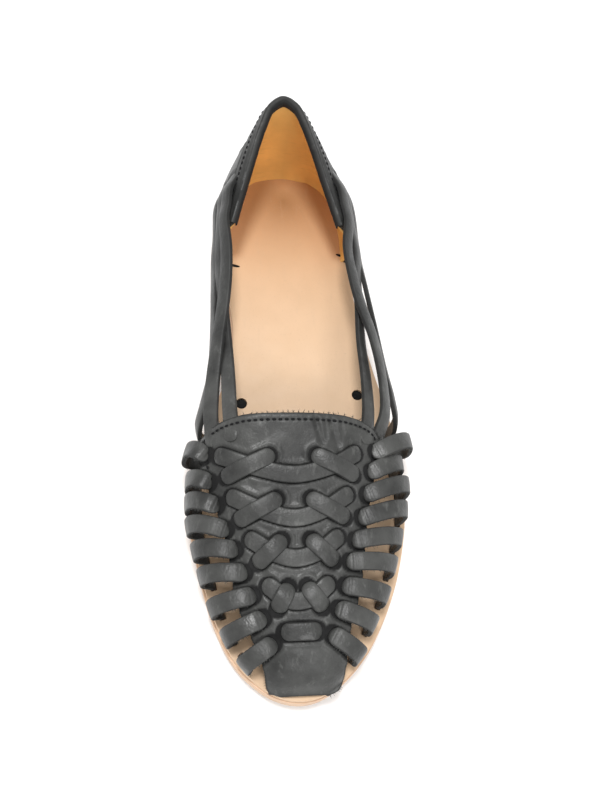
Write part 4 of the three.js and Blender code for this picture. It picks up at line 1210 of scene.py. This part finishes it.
# The counter's sheets face the foot and grow outwards, so they start this far inside the outer face.
COUNTER_BACK = -0.9
OUTSIDE_PART = 0.55
LINING_ROUNDING = 0.25
SKIVED = 0.7
SKIVED_OVER = 1.6
SLIT_LIP = 0.9
# The collar strip: v up to OUTSIDE lies outside the counter, up to OVER it turns over the top edge, and past
# that it goes down the inside, INSIDE mm for a whole v. It narrows over the END part of each half.
STRIP_THICKNESS = 0.6
STRIP_ROUNDING = 0.2
STRIP_OUTSIDE = 0.66
STRIP_OVER = 0.86
STRIP_INSIDE = 12
STRIP_END = 0.1
STRIP_SEAM_END = 0.94


def whole_counter():
    """The counter's rows from the front edge to the back seam, and one beyond it to keep the back round."""
    rows = []
    for number, row in enumerate([*COUNTER, COUNTER[BACK_SEAM - 1]]):
        turned = -1 if number > BACK_SEAM else 1
        halves = {name: turned * row[name] for name in ("lowHalf", "midHalf", "topHalf")}
        rows.append({**row, **halves, "at": number})
    return rows


COUNTER_ROUND = whole_counter()


def counter_point(q, level):
    """The counter's outer face: q is -1 at the medial front, 0 at the back seam, 1 at the lateral front."""
    q, level = np.broadcast_arrays(np.asarray(q, float), np.asarray(level, float))
    side = np.where(q < 0, -1.0, 1.0)
    station = BACK_SEAM * (1 - np.abs(q))
    column = {name: read(COUNTER_ROUND, name, station) for name in COUNTER[0]}
    middle = COUNTER_MID
    low = (level - middle) * (level - 1) / middle
    mid = level * (level - 1) / (middle * (middle - 1))
    top = level * (level - middle) / (1 - middle)
    foot = bed_height(column["lowAt"]) - GROOVE_DEPTH
    height = foot * low + (COUNTER_MID_HEIGHT + station * COUNTER_MID_RISE) * mid + column["topHeight"] * top
    half = column["lowHalf"] * low + column["midHalf"] * mid + column["topHalf"] * top
    at = column["lowAt"] * low + column["midAt"] * mid + column["topAt"] * top
    return place(at, LEAN_FOOT_X + LEAN_PER_HEIGHT * height + side * half, height)


def counter_normal(q, level):
    step = 0.01
    q = np.clip(np.asarray(q, float), -1 + step, 1 - step)
    around = counter_point(q + step, level) - counter_point(q - step, level)
    up = counter_point(q, level + step) - counter_point(q, level - step)
    return -unit(np.cross(around, up))


def on_counter(q, level, lift):
    return counter_point(q, level) + counter_normal(q, level) * np.asarray(lift, float)[..., None]


def distance_between(points, start, end):
    """How far places are from a straight stretch between two points."""
    way = end - start
    t = np.clip((points - start) @ way / (way @ way), 0, 1)
    return np.linalg.norm(points - start - t[:, None] * way, axis=1)


def strip_taper(q):
    """How much of its width the collar strip keeps: all of it, except towards its front ends."""
    return np.clip((1 - np.abs(q)) / STRIP_END, 0.15, 1) ** 0.7


def counter_slits(thickness, width):
    """The slits that the straps come out of, and two more at the back, as pairs of points."""
    for strap in STRAPS:
        line = strap_line(strap, thickness)
        across = np.cross(unit(line[8, :3] - line[2, :3]), line[5, 3:]) * (width / 2 + SLIT_LIP)
        yield line[3, :3] - across, line[3, :3] + across
    for start, end in BACK_SLITS:
        yield on_counter(*start, 0.0), on_counter(*end, 0.0)


def counter_span(q):
    """Length of the counter from its foot to its top edge."""
    low, middle, top = (counter_point(q, level) for level in (0.0, 0.5, 1.0))
    return np.linalg.norm(middle - low, axis=-1) + np.linalg.norm(top - middle, axis=-1)


def strap_line(strap, thickness):
    """The line of a side strap, from its slot in the counter forward."""
    side, station = strap["side"], strap["station"]
    level, front = strap["level"], strap["frontLevel"]
    clear = thickness / 2 + GAP + 0.3 + strap["lift"]
    route = []
    for f, lift in ((-0.05, -0.9), (0.1, 0.7), (0.3, clear), (0.6, clear), (0.88, clear)):
        q = side * (1 - station * (1 - f) / BACK_SEAM)
        at_level = level + (front - level) * f
        route.append([*on_counter(q, at_level, lift), *counter_normal(q, at_level)])
    for at, x, height, flat in strap["route"]:
        up = unit(np.array([side * (1 - 0.75 * flat), 0, 0.25 + flat]))
        route.append([*place(at, x, height), *up])
    return through(route, LINE_STEPS)


class SANDAL_OT_straps(bpy.types.Operator):
    """Makes the three straps along each side, from the counter to the front"""

    bl_idname = "sandal.straps"
    bl_label = "Side Straps"

    def execute(self, context):
        sizes, colours = context.scene.sandal_sizes, context.scene.sandal_colours
        width, thickness = sizes.strap_width / MM, sizes.strap_thickness / MM
        straps = [make_thong(f"strap_{k}", strap_line(strap, thickness), width, thickness, crown=0.4,
                             spacing=0.7) for k, strap in enumerate(STRAPS)]
        piece = join(straps, "side_straps")
        smooth(piece, 50)
        dress_black(piece, colours, "upper")
        return {"FINISHED"}


class SANDAL_OT_counter(bpy.types.Operator):
    """Makes the counter round the heel: black outside, tan lining, sewn collar strip and slots"""

    bl_idname = "sandal.counter"
    bl_label = "Heel Counter"

    def execute(self, context):
        sizes, colours = context.scene.sandal_sizes, context.scene.sandal_colours
        wall, collar = sizes.counter_wall / MM, sizes.collar_width / MM
        outer = wall * OUTSIDE_PART
        shell, u, v = new_sheet("counter_outside", 240, 80)
        q = 2 * u - 1
        relief = 0.14 * ripple(90 * q, 50 * v, 16, 6)
        shade = np.zeros_like(q)
        points = on_counter(q, v, relief)
        for fold_from, fold_to, width, depth in COUNTER_FOLDS:
            away = distance_between(points, *(on_counter(*end, 0.0) for end in (fold_from, fold_to))) / width
            relief = relief - depth * bell(away, 1) + 0.4 * depth * bell(away - 1.7, 1)
        for slit_from, slit_to in counter_slits(sizes.strap_thickness / MM, sizes.strap_width / MM):
            away = distance_between(points, slit_from, slit_to)
            relief = relief - 0.75 * bell(away, 0.75) + 0.3 * bell(away - 2, 1.1)
            # Painted shade in each slit where a strap comes out, and in the two back slits.
            shade = np.maximum(shade, bell(np.maximum(away - 0.25, 0), 0.35))
        from_top = (1 - v) * counter_span(q)
        below_strip = np.abs(from_top - collar * strip_taper(q) - 0.2)
        relief = relief - SKIVED * bell(from_top, SKIVED_OVER) - 0.2 * bell(below_strip, 0.7)
        # Painted shadow along the collar strip's lower edge.
        shade = np.maximum(shade, 0.85 * bell(below_strip, 0.55))
        shape(shell, on_counter(q, v, COUNTER_BACK + relief))
        paint(shell, "cut_edge", bell(from_top, 0.6))
        paint(shell, "slot_shade", shade)
        thicken(shell, outer)
        close_up(shell)
        round_edges(shell, EDGE_ROUNDING)
        smooth(shell, 45)
        dress_black(shell, colours, "heel_counter")
        lining, u, v = new_sheet("counter_lining", 160, 60)
        q = 2 * u - 1
        soft = 0.1 * ripple(90 * q, 50 * v, 12, 8)
        shape(lining, on_counter(0.995 * q, 0.965 * v, COUNTER_BACK - outer - 0.06 + soft))
        thicken(lining, wall - outer - 0.1)
        close_up(lining)
        round_edges(lining, LINING_ROUNDING)
        smooth(lining, 45)
        dress(lining, finish("lining", lining_leather, colours), "lining_leather", "heel_counter")
        strip, u, v = new_sheet("collar_strip", 260, 40)
        q = 2 * u - 1
        proud, inside = STRIP_THICKNESS + 0.1, 0.1 - wall
        down = (1 - np.minimum(v / STRIP_OUTSIDE, 1)) * collar + np.maximum(v - STRIP_OVER, 0) * STRIP_INSIDE
        down = down * strip_taper(q)
        turn = np.pi * np.clip((v - STRIP_OUTSIDE) / (STRIP_OVER - STRIP_OUTSIDE), 0, 1)
        lift = (proud + inside) / 2 + (proud - inside) / 2 * np.cos(turn)
        skived = SKIVED * bell(down, SKIVED_OVER) * (1 + np.cos(turn)) / 2
        lift = np.where(v < STRIP_OVER, lift - skived, lift)
        swell = 0.06 * ripple(90 * q, 40 * v, 7, 2) - 0.12 * bell(down - collar * 0.5, 0.5) * (turn == 0)
        strip_points = on_counter(q, 1 - down / counter_span(q), lift + swell)
        strip_points[:, 2] += 0.6 * np.sin(turn)
        shape(strip, strip_points)
        paint(strip, "cut_edge", bell(v * collar, 0.35))
        # Painted shade on the part of the strip that turns over the top edge and down the inside.
        paint(strip, "slot_shade", np.clip(turn - 1.2, 0, 0.9))
        thicken(strip, STRIP_THICKNESS)
        close_up(strip)
        round_edges(strip, STRIP_ROUNDING)
        smooth(strip, 45)
        dress_black(strip, colours, "heel_counter")
        along = np.linspace(-STRIP_SEAM_END, STRIP_SEAM_END, 400)
        seam_level = 1 - 0.5 * collar / counter_span(along)
        seam = np.concatenate([on_counter(along, seam_level, 2 * STRIP_THICKNESS + 0.04 + 0 * along),
                               counter_normal(along, seam_level)], axis=1)
        stitches = sew("collar_stitches", seam, sizes.stitch_pitch / MM, 1.5, 0.9)
        dress_thread(stitches, colours)
        chance = random.Random(31)
        places = []
        for _ in range(COLLAR_FIBRES):
            spot = chance.uniform(-0.99, 0.99)
            away = counter_normal(spot, 1.0) * 0.4 + np.array([0, 0, 1])
            places.append((on_counter(spot, 1.0, chance.uniform(-1.2, 0.6)), away))
        dress_black(fray("collar_fibres", places, 13, *SHORT_FIBRE), colours)
        return {"FINISHED"}


# ---------------------------------------------------------------- stage
CAMERA = {"at": -16.9, "x": -43.3, "height": 320.9}
CAMERA_LOOK = Vector((0.13125, 0.4067, -0.9135))
CAMERA_UP = Vector((0, 0.9135, 0.4067))
CAMERA_LENS = 36
FLOOR_SIZE = 6
SKY_STRENGTH = 0.82
# Name, place, power and size of each light.
LIGHTS = [("top_light", (-0.12, 0.1, 1.1), 7, 0.24), ("front_light", (0.25, -0.75, 0.85), 3, 0.4)]


def aim(thing, look, up):
    """Turns a camera or light to look one way, with another way up."""
    back = -Vector(look).normalized()
    right = Vector(up).cross(back).normalized()
    thing.matrix_world = Matrix.Translation(thing.location) @ Matrix(
        (right, back.cross(right), back)).transposed().to_4x4()


def soft_light(name, location, power, size):
    """A round area light that shines at the middle of the sandal."""
    light = bpy.data.lights.new(name, "AREA")
    light.shape = "DISK"
    light.size = size
    light.energy = power
    lamp = bpy.data.objects.new(name, light)
    bpy.context.scene.collection.objects.link(lamp)
    lamp.location = location
    aim(lamp, -Vector(location), (0, 1, 0.01))


class SANDAL_OT_stage(bpy.types.Operator):
    """Makes the pale floor, the soft studio light and the camera"""

    bl_idname = "sandal.stage"
    bl_label = "Studio"

    def execute(self, context):
        scene = context.scene
        scene.view_settings.view_transform = "Standard"
        deselect()
        bpy.ops.mesh.primitive_plane_add(size=FLOOR_SIZE)
        floor = bpy.context.object
        floor.name = "floor"
        floor.data.materials.append(floor_finish(scene.sandal_colours))
        world = bpy.data.worlds.new("studio_air")
        world.use_nodes = True
        sky = world.node_tree.nodes["Background"]
        sky.inputs["Color"].default_value = (1, 1, 1, 1)
        sky.inputs["Strength"].default_value = SKY_STRENGTH
        scene.world = world
        for light in LIGHTS:
            soft_light(*light)
        lens = bpy.data.cameras.new("camera")
        lens.lens = CAMERA_LENS
        lens.clip_start = 0.01
        camera = bpy.data.objects.new("camera", lens)
        scene.collection.objects.link(camera)
        camera.location = place(CAMERA["at"], CAMERA["x"], CAMERA["height"]) * MM
        aim(camera, CAMERA_LOOK, CAMERA_UP)
        scene.camera = camera
        return {"FINISHED"}


class SANDAL_PT_panel(bpy.types.Panel):
    """Lists the pieces of the sandal"""

    bl_label = "Woven Sandal"
    bl_idname = "SANDAL_PT_panel"
    bl_space_type = "VIEW_3D"
    bl_region_type = "UI"
    bl_category = "Sandal"

    def draw(self, context):
        for operator in OPERATORS:
            self.layout.operator(operator.bl_idname)
        for group in (context.scene.sandal_sizes, context.scene.sandal_colours):
            for name in group.__annotations__:
                self.layout.prop(group, name)


OPERATORS = (SANDAL_OT_stage, SANDAL_OT_sole, SANDAL_OT_insole, SANDAL_OT_plastron, SANDAL_OT_weave,
             SANDAL_OT_loops, SANDAL_OT_straps, SANDAL_OT_counter)
CLASSES = (SandalSizes, SandalColours, *OPERATORS, SANDAL_PT_panel)


def register():
    for made in CLASSES:
        bpy.utils.register_class(made)
    bpy.types.Scene.sandal_sizes = PointerProperty(type=SandalSizes)
    bpy.types.Scene.sandal_colours = PointerProperty(type=SandalColours)


def unregister():
    del bpy.types.Scene.sandal_colours
    del bpy.types.Scene.sandal_sizes
    for made in reversed(CLASSES):
        bpy.utils.unregister_class(made)


def main():
    register()
    bpy.ops.sandal.stage()
    bpy.ops.sandal.sole()
    bpy.ops.sandal.insole()
    bpy.ops.sandal.plastron()
    bpy.ops.sandal.weave()
    bpy.ops.sandal.loops()
    bpy.ops.sandal.straps()
    bpy.ops.sandal.counter()


if __name__ == "__main__":
    main()
